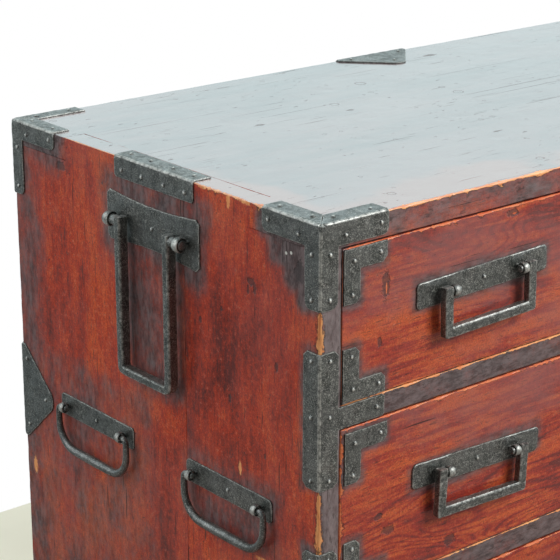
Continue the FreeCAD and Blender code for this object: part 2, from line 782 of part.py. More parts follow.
def handle_plate(name, outline, eye_place):
    """A plate with a hole for each split pin."""
    body = new_body(name)
    slab(body, "y", -S.iron, 0.0, outline)
    for way in (-1.0, 1.0):
        slab(body, "y", -S.iron, 0.0, circle=(eye_place * way, 0.0, S.pin_shank + S.nail_play), hollow=True)
    return body


def rounded_plate(length, height):
    """A straight plate with rounded corners."""
    a, b = length / 2, height / 2
    turn = S.plate_round
    return [(-a, -b, "round", turn), (a, -b, "round", turn), (a, b, "round", turn), (-a, b, "round", turn)]


def dished_plate():
    """The long handle's plate: its upper and lower edges are hollow."""
    a, b = S.carry_plate_length / 2, S.carry_plate_end / 2
    chamfer = S.clip
    chord = a - chamfer
    waist = S.carry_plate_waist
    radius = (chord * chord + waist * waist) / (waist * 2.0)
    return [
        (-chord, -b, "arc", -radius), (chord, -b), (a, -b + chamfer), (a, b - chamfer),
        (chord, b, "arc", -radius), (-chord, b), (-a, b - chamfer), (-a, -b + chamfer),
    ]


def split_pin(name, pintle, wall, width, standoff, depth):
    """An eye on a shank that goes through the wood; its two ends are turned over at depth."""
    hole = pintle + S.pivot_clearance
    eye = cut(name + "_eye", rod(name + "_ring", hole + wall, width, (0.0, -standoff, 0.0), "x"),
              rod(name + "_hole", hole, width * 2.0, (0.0, -standoff, 0.0), "x"))
    start = -(standoff - hole - wall / 2)
    shank = rod(name + "_shank", S.pin_shank, depth - start, (0.0, (start + depth) / 2, 0.0), "y")
    ends = box(name + "_ends", (-S.clinch_width / 2, depth - S.clinch_thickness, -S.clinch),
               (S.clinch_width / 2, depth, S.clinch))
    return fuse(name, [eye, shank, ends])


def square_bail(name, width, drop, head, face, bar, standoff, pintle, inner, outer, turn=None):
    """A square-cornered bail: three sides of a rectangle with a round pintle on each leg."""
    half = width / 2
    near = half - face
    body = new_body(name)
    lower = (half, -drop, "round", turn) if turn is not None else (half, -drop)
    lower_left = (-half, -drop, "round", turn) if turn is not None else (-half, -drop)
    slab(body, "y", -standoff - bar / 2, -standoff + bar / 2, [
        lower_left, lower, (half, head), (near, head), (near, -drop + face), (-near, -drop + face),
        (-near, head), (-half, head),
    ])
    slab(body, "x", inner, outer, circle=(-standoff, 0.0, pintle))
    slab(body, "x", -outer, -inner, circle=(-standoff, 0.0, pintle))
    return body


def bow_bail(name):
    """A round bar bent into a bow, its ends turned in through the eyes."""
    half = S.lift_width / 2
    body = new_body(name)
    path = sketch_on(body, "y", -S.lift_standoff)
    draw(path, corners([
        (-S.lift_pintle_end, 0.0), (-half, 0.0, "round", S.lift_shoulder),
        (-half, -S.lift_reach, "round", S.lift_bend), (half, -S.lift_reach, "round", S.lift_bend),
        (half, 0.0, "round", S.lift_shoulder), (S.lift_pintle_end, 0.0),
    ]), closed=False)
    section = sketch_on(body, "x", -S.lift_pintle_end)
    draw_circle(section, -S.lift_standoff, 0.0, S.lift_bar)
    sweep = body.newObject("PartDesign::AdditivePipe", name + "_bar")
    sweep.Profile = section
    sweep.Spine = path
    body.Tip = sweep
    return body


def copy_at(name, master, x, y, z, axis, angle):
    """A moved copy of a piece that was made in its own frame."""
    copy = group(name, [master])
    place(copy, x, y, z, axis, angle)
    return copy


def sine(degrees):
    return Size(math.sin(math.radians(degrees.value)), "sin(%s * 1 deg)" % degrees.text)


def cosine(degrees):
    return Size(math.cos(math.radians(degrees.value)), "cos(%s * 1 deg)" % degrees.text)


# ---------------------------------------------------------------------------------------------
# drawers


class Drawer:
    """The named sizes of one drawer, and the places worked out from them."""

    def __init__(self, name, floor, opening, inset, handle_drop, tilt):
        self.name = name
        self.low = floor + S.run_gap
        self.high = floor + opening - S.top_gap
        self.inset = inset
        self.pivot = floor + opening - handle_drop
        self.tilt = tilt

    def handle_middle(self, side):
        """x of a handle; side is -1 for the left one and 1 for the right one."""
        return (HALF_WIDTH - S.handle_inset) * side

    def pin_places(self, eye_place):
        """Each split pin: side, x and z."""
        for side in (-1.0, 1.0):
            for way in (-1.0, 1.0):
                x = self.handle_middle(side) + eye_place * way * cosine(self.tilt)
                z = self.pivot - eye_place * (way * side) * sine(self.tilt)
                yield side, x, z


def drawer_front(drawer, eye_place):
    """Rebated behind at both ends for the sides and along the bottom for the bottom board."""
    a = DRAWER_HALF
    inner = a - S.drawer_side
    lap = FRONT + S.front_lap
    behind = FRONT + S.front_board
    body = new_body(drawer.name + "_front_wood")
    slab(body, "z", drawer.low, drawer.high, [
        (-a, FRONT), (a, FRONT), (a, lap), (inner, lap), (inner, behind), (-inner, behind),
        (-inner, lap), (-a, lap),
    ])
    slab(body, "x", -a, a, rectangle(lap, drawer.low, behind, drawer.low + S.drawer_bottom), hollow=True)
    for side, x, z in drawer.pin_places(eye_place):
        slab(body, "y", FRONT, behind, circle=(x, z, S.pin_shank + S.nail_play), hollow=True)
    return body


def drawer_box(drawer):
    """Sides, back and bottom."""
    a = DRAWER_HALF
    inner = a - S.drawer_side
    lap = FRONT + S.front_lap
    rear = REAR_OF_DRAWERS
    bed = drawer.low + S.drawer_bottom
    right = box(drawer.name + "_right_side", (inner, lap, bed), (a, rear, drawer.high))
    left = box(drawer.name + "_left_side", (-a, lap, bed), (-inner, rear, drawer.high))
    node(drawer.name + "_sides", group(drawer.name + "_side_pair", [left, right]))
    node(drawer.name + "_back",
         box(drawer.name + "_back_board", (-inner, rear - S.drawer_side, bed), (inner, rear, drawer.high)))
    node(drawer.name + "_bottom",
         box(drawer.name + "_bottom_board", (-a, lap, drawer.low), (a, rear, bed)))


def drawer_angles(drawer, nails):
    """The L-shaped irons on a front's four corners."""
    leg, width, cut_off = S.angle_leg, S.angle_width, S.clip
    x = -DRAWER_HALF + drawer.inset
    z = drawer.high - drawer.inset
    name = drawer.name + "_angle"
    upper = new_body(name)
    slab(upper, "y", FRONT - S.iron, FRONT, [
        (x, z), (x, z - leg), (x + width, z - leg, "clip", cut_off), (x + width, z - width),
        (x + leg, z - width, "clip", cut_off), (x + leg, z),
    ])
    middle = (drawer.low + drawer.high) / 2
    lower = mirror(name + "_lower", upper, (0, 0, 1), (0.0, 0.0, middle))
    inner, tip = width * FAR_LINE, leg - S.angle_tip_nail
    for u, v in ((inner, inner), (tip, width / 2), (width / 2, tip)):
        nails.add(x + u, FRONT - S.iron, z - v, (0, -1, 0))
        nails.add(x + u, FRONT - S.iron, middle * 2.0 - z + v, (0, -1, 0))
    right = [mirror(name + "_right", upper), mirror(name + "_lower_right", lower)]
    return group(name + "_set", [upper, lower] + right)


def make_drawer(drawer, plate, pin, bail, eye_place):
    """One drawer as nodes."""
    nails = Nails()
    front = drawer_front(drawer, eye_place)
    drawer_box(drawer)
    angles = drawer_angles(drawer, nails)
    nails.mirrored()
    plates = []
    for side, word in ((-1.0, "left"), (1.0, "right")):
        x = drawer.handle_middle(side)
        turn = drawer.tilt * side
        name = "%s_%s" % (drawer.name, word)
        plates.append(copy_at(name + "_plate", plate, x, FRONT, drawer.pivot, (0, 1, 0), turn))
        nails.add(x, FRONT - S.iron, drawer.pivot, (0, -1, 0))
        hung = copy_at(name + "_bail_placed", bail, x, FRONT, drawer.pivot, (0, 1, 0), turn)
        node(name + "_bail", hung)
    pins = [copy_at("%s_pin_%d" % (drawer.name, number), pin, x, FRONT, z, (0, 1, 0), drawer.tilt * side)
            for number, (side, x, z) in enumerate(drawer.pin_places(eye_place))]
    node(drawer.name + "_front", drilled(drawer.name + "_front", front, nails))
    node(drawer.name + "_corner_irons", drilled(drawer.name + "_angles", angles, nails))
    both = group(drawer.name + "_plates", plates)
    node(drawer.name + "_handle_plates", drilled(drawer.name + "_plates", both, nails))
    node(drawer.name + "_handle_pins", group(drawer.name + "_pins", pins))
    nail_group(drawer.name + "_nails", nails)


def make_drawers():
    """The three drawers with their handles."""
    eye_place = S.bail_width / 2 - S.bail_face - S.eye_gap - S.eye_width / 2
    plate = handle_plate("drawer_plate_master", rounded_plate(S.plate_length, S.plate_height), eye_place)
    pin = split_pin("drawer_pin_master", S.pintle, S.eye_wall, S.eye_width, S.bail_standoff,
                    S.front_board + S.clinch_thickness)
    near = S.bail_width / 2 - S.bail_face
    bail = square_bail("drawer_bail_master", S.bail_width, S.bail_drop, S.bail_head, S.bail_face, S.bail_bar,
                       S.bail_standoff, S.pintle, near - S.pintle_length, near + S.pintle_root)
    for word, floor in (("upper", UPPER_FLOOR), ("middle", MIDDLE_FLOOR), ("lower", LOWER_FLOOR)):
        opening, inset, drop, tilt = (getattr(S, "%s_%s" % (word, size))
                                      for size in ("opening", "inset", "handle_drop", "tilt"))
        make_drawer(Drawer(word + "_drawer", floor, opening, inset, drop, tilt), plate, pin, bail, eye_place)


# ---------------------------------------------------------------------------------------------
# side handles


def side_copies(name, master, centres, drop):
    """Copies on both sides of the case: -90 degrees about Z faces -X, +90 degrees faces +X."""
    copies = {}
    for side, word, turn in ((-1.0, "left", -90.0), (1.0, "right", 90.0)):
        for label, centre in centres:
            copies[word, label] = copy_at("%s_%s_%s" % (name, word, label), master, HALF_WIDTH * side,
                                          centre, CASE_HEIGHT - drop, (0, 0, 1), turn)
    return copies


def make_side_handles(nails):
    """The long carrying handle and the two small ones on each side."""
    depth = S.board - S.run_gap / 2
    carry_plate = handle_plate("carry_plate_master", dished_plate(), S.carry_eye_place)
    lift_plate = handle_plate("lift_plate_master", rounded_plate(S.lift_plate_length, S.lift_plate_height),
                              S.lift_eye_place)
    carry_pin = split_pin("carry_pin_master", S.carry_pintle, S.carry_eye_wall, S.carry_eye_width,
                          S.carry_standoff, depth)
    lift_pin = split_pin("lift_pin_master", S.lift_bar, S.eye_wall, S.lift_eye_width, S.lift_standoff, depth)
    half = S.carry_width / 2
    carry = square_bail("carry_master", S.carry_width, S.carry_reach, S.carry_head, S.carry_face, S.carry_bar,
                        S.carry_standoff, S.carry_pintle, half - S.pintle_root,
                        S.carry_eye_place + S.carry_eye_width / 2 + S.eye_gap, S.carry_round)
    lift = bow_bail("lift_master")

    carry_centres = [("middle", CARRY_MIDDLE)]
    lift_centres = [("front", FRONT_LIFT_MIDDLE), ("rear", REAR_LIFT_MIDDLE)]
    carry_pins = [("pin%+d" % way, CARRY_MIDDLE + S.carry_eye_place * way) for way in (-1, 1)]
    lift_pins = [("%s_pin%+d" % (label, way), centre + S.lift_eye_place * way)
                 for label, centre in lift_centres for way in (-1, 1)]

    carry_plates = side_copies("carry_plate", carry_plate, carry_centres, S.carry_drop)
    lift_plates = side_copies("lift_plate", lift_plate, lift_centres, S.lift_drop)
    for centre, drop in ((CARRY_MIDDLE, S.carry_drop), (FRONT_LIFT_MIDDLE, S.lift_drop),
                         (REAR_LIFT_MIDDLE, S.lift_drop)):
        nails.add(-HALF_WIDTH - S.iron, centre, CASE_HEIGHT - drop, (-1, 0, 0))
    pins = side_copies("carry_pin", carry_pin, carry_pins, S.carry_drop)
    node("carry_handle_pins", group("carry_pins", list(pins.values())))
    pins = side_copies("lift_pin", lift_pin, lift_pins, S.lift_drop)
    node("lifting_handle_pins", group("lift_pins", list(pins.values())))
    for (word, label), handle in side_copies("carry", carry, carry_centres, S.carry_drop).items():
        node("%s_carry_handle" % word, handle)
    for (word, label), handle in side_copies("lift", lift, lift_centres, S.lift_drop).items():
        node("%s_%s_lifting_bail" % (word, label), handle)
    carry_set = group("carry_plates", list(carry_plates.values()))
    lift_set = group("lift_plates", list(lift_plates.values()))
    return carry_set, lift_set


# ---------------------------------------------------------------------------------------------
# the whole chest


def make_case():
    """Boards, irons and side handles, with every nail hole in the pieces that it goes through."""
    nails = Nails()
    boards = side_boards()
    irons = {
        "front_top_corner_irons": [corner_iron("front_top_iron", True, True, nails)],
        "rear_top_corner_irons": [corner_iron("rear_top_iron", False, True, nails)],
        "bottom_corner_irons": [corner_iron("front_bottom_iron", True, False, nails),
                                corner_iron("rear_bottom_iron", False, False, nails)],
        "upper_post_irons": [post_iron("upper_post_iron", UPPER_RAIL_UNDER, UPPER_FLOOR, nails)],
        "lower_post_irons": [post_iron("lower_post_iron", LOWER_RAIL_UNDER, MIDDLE_FLOOR, nails)],
        "side_straps": [side_strap("side_strap", nails)],
        "rear_edge_plates": [rear_edge_plate("rear_edge_plate", nails)],
    }
    carry_plates, lift_plates = make_side_handles(nails)
    nails.mirrored()
    back_iron = rear_top_plate("rear_top_iron_plate", nails)

    for name, left in irons.items():
        right = [mirror("%s_right_%d" % (name, number), piece) for number, piece in enumerate(left)]
        node(name, drilled(name, group(name + "_set", left + right), nails))
    node("rear_top_plate", drilled("rear_top_plate", back_iron, nails))
    node("carry_handle_plates", drilled("carry_handle_plates", carry_plates, nails))
    node("lifting_handle_plates", drilled("lifting_handle_plates", lift_plates, nails))

    for part, body in boards.items():
        other = mirror("right_%s_board" % part, body)
        node("left_side_%s_board" % part, drilled("left_%s" % part, body, nails))
        node("right_side_%s_board" % part, drilled("right_%s" % part, other, nails))
    top = end_board("top_board_wood", TOP_UNDER, CASE_HEIGHT)
    bottom = end_board("bottom_board_wood", Size(0.0, "0"), S.board)
    back = box("back_board_wood", (-INSIDE, REAR - S.back_board, S.board), (INSIDE, REAR, TOP_UNDER))
    upper_rail, lower_rail = rails()
    for name, wood in (("top_board", top), ("bottom_board", bottom), ("back_board", back),
                       ("upper_rail", upper_rail), ("lower_rail", lower_rail)):
        node(name, drilled(name, wood, nails))
    node("shelf_boards", shelf_boards())
    nail_group("case_nails", nails)


def check_and_write():
    """Stop on any failed object or bad shape, then write one file for each sub-part."""
    DOC.recompute()
    for thing in DOC.Objects:
        if "Invalid" in thing.State or "Error" in thing.State:
            raise RuntimeError("%s failed: %s" % (thing.Name, thing.State))
    for name, thing in NODES.items():
        if thing.Shape.isNull() or not thing.Shape.isValid():
            raise RuntimeError("%s has a bad shape" % name)
        if thing.Shape.Volume <= 0.0:
            raise RuntimeError("%s is empty" % name)
    os.makedirs("parts", exist_ok=True)
    for name, thing in NODES.items():
        thing.Shape.exportStep("parts/%s.step" % name)
    print("%d sub-parts written" % len(NODES))


make_case()
make_drawers()
check_and_write()
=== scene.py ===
"""Finish, wear and ironwork of a low lacquered chest with three drawers.

Metres throughout, in the chest's own frame: +X to the right seen from the front, +Y to the back,
+Z up, the origin in the middle of the underside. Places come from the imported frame; sizes and
colours that a user would change are properties of the scene.
"""

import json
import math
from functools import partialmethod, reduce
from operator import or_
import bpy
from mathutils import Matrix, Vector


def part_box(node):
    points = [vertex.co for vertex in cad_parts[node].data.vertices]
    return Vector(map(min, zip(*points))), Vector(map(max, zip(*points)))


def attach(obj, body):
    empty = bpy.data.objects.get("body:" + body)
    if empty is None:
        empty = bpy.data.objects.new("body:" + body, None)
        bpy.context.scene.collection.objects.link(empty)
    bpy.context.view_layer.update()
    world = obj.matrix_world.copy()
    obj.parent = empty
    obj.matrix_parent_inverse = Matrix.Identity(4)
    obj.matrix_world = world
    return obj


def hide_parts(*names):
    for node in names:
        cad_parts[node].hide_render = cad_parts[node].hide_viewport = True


bl_info = {
    "name": "Iron-bound drawer chest",
    "version": (1, 0, 0),
    "blender": (4, 5, 0),
    "location": "View3D > Sidebar > Chest",
    "description": "Boards, irons, handles and finishes of a low lacquered drawer chest",
    "category": "Object",
}

import bpy
import numpy as np
from bpy.props import FloatProperty, FloatVectorProperty, PointerProperty
from mathutils import Matrix, Quaternion, Vector
from mathutils.geometry import delaunay_2d_cdt

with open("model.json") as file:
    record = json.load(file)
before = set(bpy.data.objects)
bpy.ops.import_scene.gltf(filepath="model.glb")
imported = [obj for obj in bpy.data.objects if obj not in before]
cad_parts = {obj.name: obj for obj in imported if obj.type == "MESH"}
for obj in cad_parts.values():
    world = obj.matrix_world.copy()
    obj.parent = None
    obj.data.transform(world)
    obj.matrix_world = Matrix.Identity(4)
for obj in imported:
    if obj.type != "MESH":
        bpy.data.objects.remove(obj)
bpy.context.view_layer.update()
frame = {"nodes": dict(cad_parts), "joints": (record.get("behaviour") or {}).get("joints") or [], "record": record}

MM = 0.001
LEFT, RIGHT = -1.0, 1.0
BODY_OF = {node: body for body, nodes in frame["record"]["behaviour"]["bodies"].items() for node in nodes}
JOINTS = {joint["name"]: joint for joint in frame["joints"]}
FINISHES = {}
DRAWERS = ("upper", "middle", "lower")
EYE_PLAY = 0.06 * MM  # between a stub and its eye
SIDE_PIN_DEPTH = 19.8 * MM  # face of a side to the turned-over ends of its pins


def corners_of(node):
    """Lowest and highest corner of a node as arrays."""
    low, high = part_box(node)
    return np.array(low), np.array(high)


(_, FRONT, TOP_UNDER), (HALF_WIDTH, REAR, HEIGHT) = corners_of("top_board")
BOARD = HEIGHT - TOP_UNDER
INSIDE = HALF_WIDTH - BOARD
FINGER = 79 * MM  # length of the fingers that the top and the bottom have at each corner


# ---- properties ----


def length(name, default, description):
    """A length, held in metres. Its default is given in millimetres."""
    return FloatProperty(name=name, description=description, default=default * MM, unit="LENGTH", precision=5)


def colour(name, default, description):
    """A colour, from 0 to 1 in each of its three parts."""
    return FloatVectorProperty(name=name, description=description, default=default, size=3, min=0.0, max=1.0,
                               subtype="COLOR")


def settings(kind, rows):
    """Properties from rows of a name, a default and what it is. The label is the name in words."""
    return {name: kind(name.replace("_", " ").capitalize(), default, text) for name, default, text in rows}


class ChestWear(bpy.types.PropertyGroup):
    """How worn the boards are."""
    __annotations__ = settings(length, (
        ("spacing", 3.2, "distance between the grid lines of a board"),
        ("arris", 0.7, "radius that the arrises are worn to"),
        ("joint_arris", 0.35, "radius of the arrises that meet another board"),
        ("swell", 0.14, "how far a board's faces wander from flat"),
        ("dent", 0.45, "depth of the knocks in the boards"),
    ))


class ChestIrons(bpy.types.PropertyGroup):
    """Sizes of the plates."""
    __annotations__ = settings(length, (
        ("thickness", 1.4, "thickness of the plates"),
        ("bend", 0.45, "inner radius where a plate is folded over an edge"),
        ("hammer", 0.22, "depth of the hammer marks on a plate"),
        ("corner_arm", 64.0, "reach of the corner irons along each edge"),
        ("front_width", 17.5, "width of the front corner irons' arms"),
        ("rear_width", 15.0, "width of the rear corner irons' arms"),
        ("front_leg", 16.0, "width of the front corner irons' upright legs"),
        ("rear_leg", 15.0, "width of the rear corner irons' upright legs"),
        ("corner_round", 6.0, "rounding at the tips of the corner irons"),
        ("post_height", 108.0, "height of an iron folded round a post at a rail"),
        ("post_side", 17.0, "its width on the side"),
        ("post_front", 17.5, "its width on the front"),
        ("rail_leg", 63.0, "its reach along the rail"),
        ("clip", 4.0, "corners cut off the plates"),
        ("strap_width", 17.0, "width of the strap over a side's top edge, on each face"),
        ("leaf_length", 88.0, "pointed plate, along the edge it is folded over"),
        ("leaf_reach", 47.0, "from that edge to its nose"),
        ("leaf_foot", 5.0, "square foot of the plate at the edge"),
        ("leaf_nose", 12.0, "radius of the nose"),
        ("angle_leg", 42.0, "legs of a drawer's corner irons"),
        ("angle_width", 16.0, "width of those legs"),
    ))


class ChestHandles(bpy.types.PropertyGroup):
    """Sizes of the handles."""
    __annotations__ = settings(length, (
        ("plate_length", 140.0, "length of a drawer handle's plate"),
        ("plate_height", 21.0, "its height"),
        ("plate_round", 4.0, "radius of its corners, and of a small handle's plate's"),
        ("bail_width", 98.6, "width of a drawer's bail, outside"),
        ("bail_drop", 36.4, "pivot to the underside of the bail"),
        ("bail_face", 8.6, "bar of the bail, seen from the front"),
        ("bail_bar", 7.2, "bar of the bail, front to back"),
        ("bail_head", 4.3, "bar above the pivot"),
        ("pintle", 2.9, "radius of the turned-in ends"),
        ("eye_wall", 1.7, "metal round the eye of a split pin"),
        ("eye_width", 6.0, "eye of a split pin, along the pintle"),
        ("eye_gap", 0.6, "between an eye and the bail's leg"),
        ("pin_depth", 19.5, "face of the drawer front to the turned-over ends of a pin"),
        ("clinch", 12.0, "reach of each turned-over end"),
        ("carry_plate", 121.0, "length of a long handle's plate"),
        ("carry_plate_end", 42.0, "its height at the ends"),
        ("carry_plate_waist", 3.5, "how far its long edges are dished"),
        ("carry_width", 71.0, "width of a long handle, outside"),
        ("carry_drop", 128.0, "its pivot to its underside"),
        ("carry_face", 7.2, "its bar, seen from the side of the chest"),
        ("carry_bar", 9.6, "its bar, out from the chest"),
        ("carry_round", 9.0, "outer radius of its elbows"),
        ("carry_pintle", 4.4, "radius of its turned-out ends"),
        ("carry_eye", 46.0, "its middle to the middle of an eye"),
        ("lift_plate", 107.0, "length of a small handle's plate"),
        ("lift_plate_height", 19.5, "its height"),
        ("lift_width", 99.4, "width of the bow, between the middles of its upright ends"),
        ("lift_reach", 36.2, "pivot to the middle of the bow's bar"),
        ("lift_bar", 4.0, "radius of the bow at its middle"),
        ("lift_end", 2.5, "radius of the bow at its ends"),
        ("lift_eye", 41.4, "middle of the bow to the middle of an eye"),
    ))


class ChestColours(bpy.types.PropertyGroup):
    """Colours of the finishes."""
    __annotations__ = settings(colour, (
        ("side_deep", (0.13, 0.017, 0.012), "darkest streaks of the sides' lacquer"),
        ("side_body", (0.48, 0.042, 0.012), "most of the sides' lacquer"),
        ("side_bright", (0.76, 0.125, 0.025), "lightest streaks of the sides' lacquer"),
        ("front_deep", (0.17, 0.03, 0.026), "darkest grain of the drawer fronts"),
        ("front_body", (0.38, 0.04, 0.024), "most of the drawer fronts"),
        ("front_bright", (0.6, 0.112, 0.034), "lightest grain of the drawer fronts"),
        # The top's colours: faded lacquer, made paler and greyer than the sides' in part as a painted reflection
        # of the bright room.
        ("top_body", (0.27, 0.165, 0.17), "most of the top"),
        ("top_deep", (0.14, 0.09, 0.1), "darkest streaks of the top"),
        ("dark", (0.03, 0.016, 0.014), "pores, specks and scratches"),
        ("dust", (0.5, 0.3, 0.24), "dust in the lacquer's pits"),
        # A pale film: bloom on the lacquer, and in part a painted sheen.
        ("haze", (0.33, 0.13, 0.125), "bloom on the drawer fronts"),
        ("groove", (0.06, 0.025, 0.02), "scratches and grooves of the top"),
        ("veil", (0.4, 0.34, 0.34), "dust on the posts and rails"),
        ("patina", (0.045, 0.038, 0.04), "grey darkening round the irons and on the rails"),
        ("patina_pale", (0.17, 0.142, 0.146), "its lighter patches"),
        ("pink", (0.36, 0.17, 0.15), "where the top is rubbed thin"),
        ("raw", (0.72, 0.19, 0.06), "wood where the lacquer has worn off"),
        ("raw_pale", (1.0, 0.49, 0.19), "lightest raw wood"),
        ("raw_red", (0.72, 0.11, 0.03), "worn arrises of the drawers"),
        ("raw_salmon", (0.88, 0.28, 0.115), "their lightest places"),
        ("inner", (0.46, 0.27, 0.13), "unlacquered boards"),
        ("inner_deep", (0.26, 0.13, 0.06), "their grain"),
        ("iron", (0.042, 0.052, 0.042), "blackened iron"),
        ("iron_deep", (0.007, 0.009, 0.008), "its darkest places"),
        # This pale also makes the painted highlights on nail heads and on the eyes of split pins.
        ("iron_pale", (0.66, 0.66, 0.61), "bright specks and rubbed edges"),
        ("rust", (0.075, 0.048, 0.03), "brown bloom on the iron"),
        ("floor", (0.96, 0.98, 0.82), "floor"),
        ("floor_dim", (0.28, 0.265, 0.24), "floor as the chest's finishes see it"),
    ))


class ChestStage(bpy.types.PropertyGroup):
    """Camera and light."""
    eye: FloatVectorProperty(name="Camera", description="where the camera stands", size=3, unit="LENGTH",
                             default=(-1.23363, -1.14447, 0.87909))
    azimuth: FloatProperty(name="Azimuth", description="degrees round the chest", default=-39.7913)
    elevation: FloatProperty(name="Elevation", description="degrees above the horizon", default=18.8)
    roll: FloatProperty(name="Roll", description="degrees about the line of sight", default=0.065)
    lens: FloatProperty(name="Lens", description="focal length on a 36 mm sensor", default=121.07)
    ambient: FloatProperty(name="Ambient", description="strength of the surroundings as light", default=0.85)
    tint: colour("Daylight", (0.8, 0.98, 1.0), "colour of the surroundings in reflections")
    dim: FloatProperty(name="Dim side", description="strength on the camera's side", default=0.16)
    bright_way: FloatVectorProperty(name="Bright side", description="direction of the brightest surroundings",
                                    size=3, default=(0.7, 0.5, 0.5))
    key: FloatProperty(name="Key light", description="power of the lamp at the front", default=52.0,
                       unit="POWER")
    fill: FloatProperty(name="Fill light", description="power of the lamp at the back left", default=31.0,
                        unit="POWER")


# ---- numbers ----


def swell(points, wavelength, seed, waves=9):
    """Smooth wander between about -1 and 1: the scaled sum of sine waves in random directions, each
    with a random phase and a length near the given one."""
    rng = np.random.default_rng(seed)
    heading = units(rng.normal(size=(waves, points.shape[1])))
    heading *= (2.0 * math.pi / wavelength * rng.uniform(0.6, 1.8, waves))[:, None]
    phase = rng.uniform(0.0, 2.0 * math.pi, waves)
    return np.sin(points @ heading.T + phase).sum(axis=1) * math.sqrt(1.2 / waves)


def units(rows):
    """Each row of an array, made one long."""
    return rows / np.linalg.norm(rows, axis=1)[:, None]


def ease(value, low, high):
    """0 at low, 1 at high and a smooth cubic step between: t * t * (3 - 2 t)."""
    t = np.clip((value - low) / (high - low), 0.0, 1.0)
    return t * t * (3.0 - 2.0 * t)


class Skin:
    """A closed surface: points, four-sided and three-sided faces, and named values at the points."""

    def __init__(self, points, quads, tris=None, marks=None):
        self.points, self.quads = points, quads
        self.tris = np.zeros((0, 3), int) if tris is None else tris
        self.marks = marks or {}

    def volume(self):
        """Signed volume: a sixth of the sum of a . (b x c) over the triangles."""
        tris = np.concatenate([self.tris, self.quads[:, :3], self.quads[:, [0, 2, 3]]])
        a, b, c = (self.points[tris[:, i]] for i in range(3))
        return np.einsum("ij,ij->i", a, np.cross(b, c)).sum() / 6.0

    def outward(self):
        """The same skin with its faces pointing out."""
        if self.volume() < 0.0:
            self.quads = self.quads[:, ::-1]
            self.tris = self.tris[:, ::-1]
        return self

    def moved(self, matrix=np.eye(3), offset=(0.0, 0.0, 0.0)):
        """A copy turned or mirrored by a 3 x 3 matrix, then shifted."""
        copy = Skin(self.points @ matrix.T + offset, self.quads, self.tris, dict(self.marks))
        if np.linalg.det(matrix) < 0.0:
            copy.quads = copy.quads[:, ::-1]
            copy.tris = copy.tris[:, ::-1]
        return copy


def joined(skins):
    """Several skins as one; the point numbers of each are moved past those before it."""
    starts = np.cumsum([0] + [len(s.points) for s in skins])
    return Skin(np.concatenate([s.points for s in skins]),
                np.concatenate([s.quads + start for s, start in zip(skins, starts)]),
                np.concatenate([s.tris + start for s, start in zip(skins, starts)]),
                {key: np.concatenate([s.marks[key] for s in skins]) for key in skins[0].marks})


MIRROR_X = np.diag([-1.0, 1.0, 1.0])
MIRROR_Y = np.diag([1.0, -1.0, 1.0])
MIRROR_Z = np.diag([1.0, 1.0, -1.0])


def turn(axis, degrees):
    """3 x 3 matrix of a turn about "X", "Y" or "Z"."""
    return np.array(Matrix.Rotation(math.radians(degrees), 3, axis))


def add_piece(name, skin, nodes, finish, crease=38.0):
    """Put a skin into the scene as a piece that rides on its nodes' body and stands for them."""
    mesh = bpy.data.meshes.new(name)
    mesh.from_pydata(skin.points.tolist(), [], skin.quads.tolist() + skin.tris.tolist())
    for key, values in skin.marks.items():
        mesh.attributes.new(key, "FLOAT", "POINT").data.foreach_set("value", np.asarray(values, np.float32))
    mesh.polygons.foreach_set("use_smooth", np.ones(len(mesh.polygons), bool))
    mesh.set_sharp_from_angle(angle=math.radians(crease))
    mesh.materials.append(finish)
    piece = bpy.data.objects.new(name, mesh)
    bpy.context.scene.collection.objects.link(piece)
    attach(piece, BODY_OF[nodes[0]])
    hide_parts(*nodes)
    return piece


# ---- boards ----


def grid_lines(low, high, spacing, fine, marks=()):
    """Coordinates from low to high: close together at both ends, one at each mark, even between."""
    edge = fine * np.array([0.0, 0.35, 0.75, 1.2, 2.0, 3.2])
    count = max(2, int(round((high - low) / spacing)))
    even = np.linspace(low, high, count + 1)
    stops = np.array([low, high])
    even = even[np.abs(even[:, None] - stops).min(axis=1) > edge[-1] * 1.3]
    marks = np.array([m for m in marks if low < m < high])
    if len(marks):
        even = even[np.abs(even[:, None] - marks).min(axis=1) > 0.3 * spacing]
    return np.unique(np.round(np.concatenate([low + edge, high - edge, even, marks]), 7))


def lattice_skin(lines, filled):
    """Skin of the filled cells of a box grid: one face wherever a filled cell meets an empty one.
    lines are the grid's coordinates along X, Y and Z, and filled says which cells are solid."""
    shape = [len(line) for line in lines]
    number = np.arange(np.prod(shape)).reshape(shape)
    padded = np.pad(filled, 1)
    quads = []
    for axis in range(3):
        around = [(axis + 1) % 3, (axis + 2) % 3]
        for step in (0, 1):
            beside = np.roll(padded, -1 if step else 1, axis=axis)
            cells = np.argwhere((padded & ~beside)[1:-1, 1:-1, 1:-1])
            cells[:, axis] += step
            ring = []
            for db, dc in ((0, 0), (1, 0), (1, 1), (0, 1)):
                corner = cells.copy()
                corner[:, around[0]] += db
                corner[:, around[1]] += dc
                ring.append(number[tuple(corner.T)])
            ring = np.stack(ring, axis=1)
            quads.append(ring if step else ring[:, ::-1])
    quads = np.concatenate(quads)
    used, packed = np.unique(quads, return_inverse=True)
    places = np.unravel_index(used, shape)
    points = np.stack([line[place] for line, place in zip(lines, places)], axis=1)
    return Skin(points, packed.reshape(-1, 4))


ARRIS_LINES = 0.8 * MM  # scale of the close lines beside an arris
LEAST_WEAR = 0.05 * MM  # narrower wear leaves no bare wood
BY_ARRIS = 8 * MM  # how far wear rounds an arris


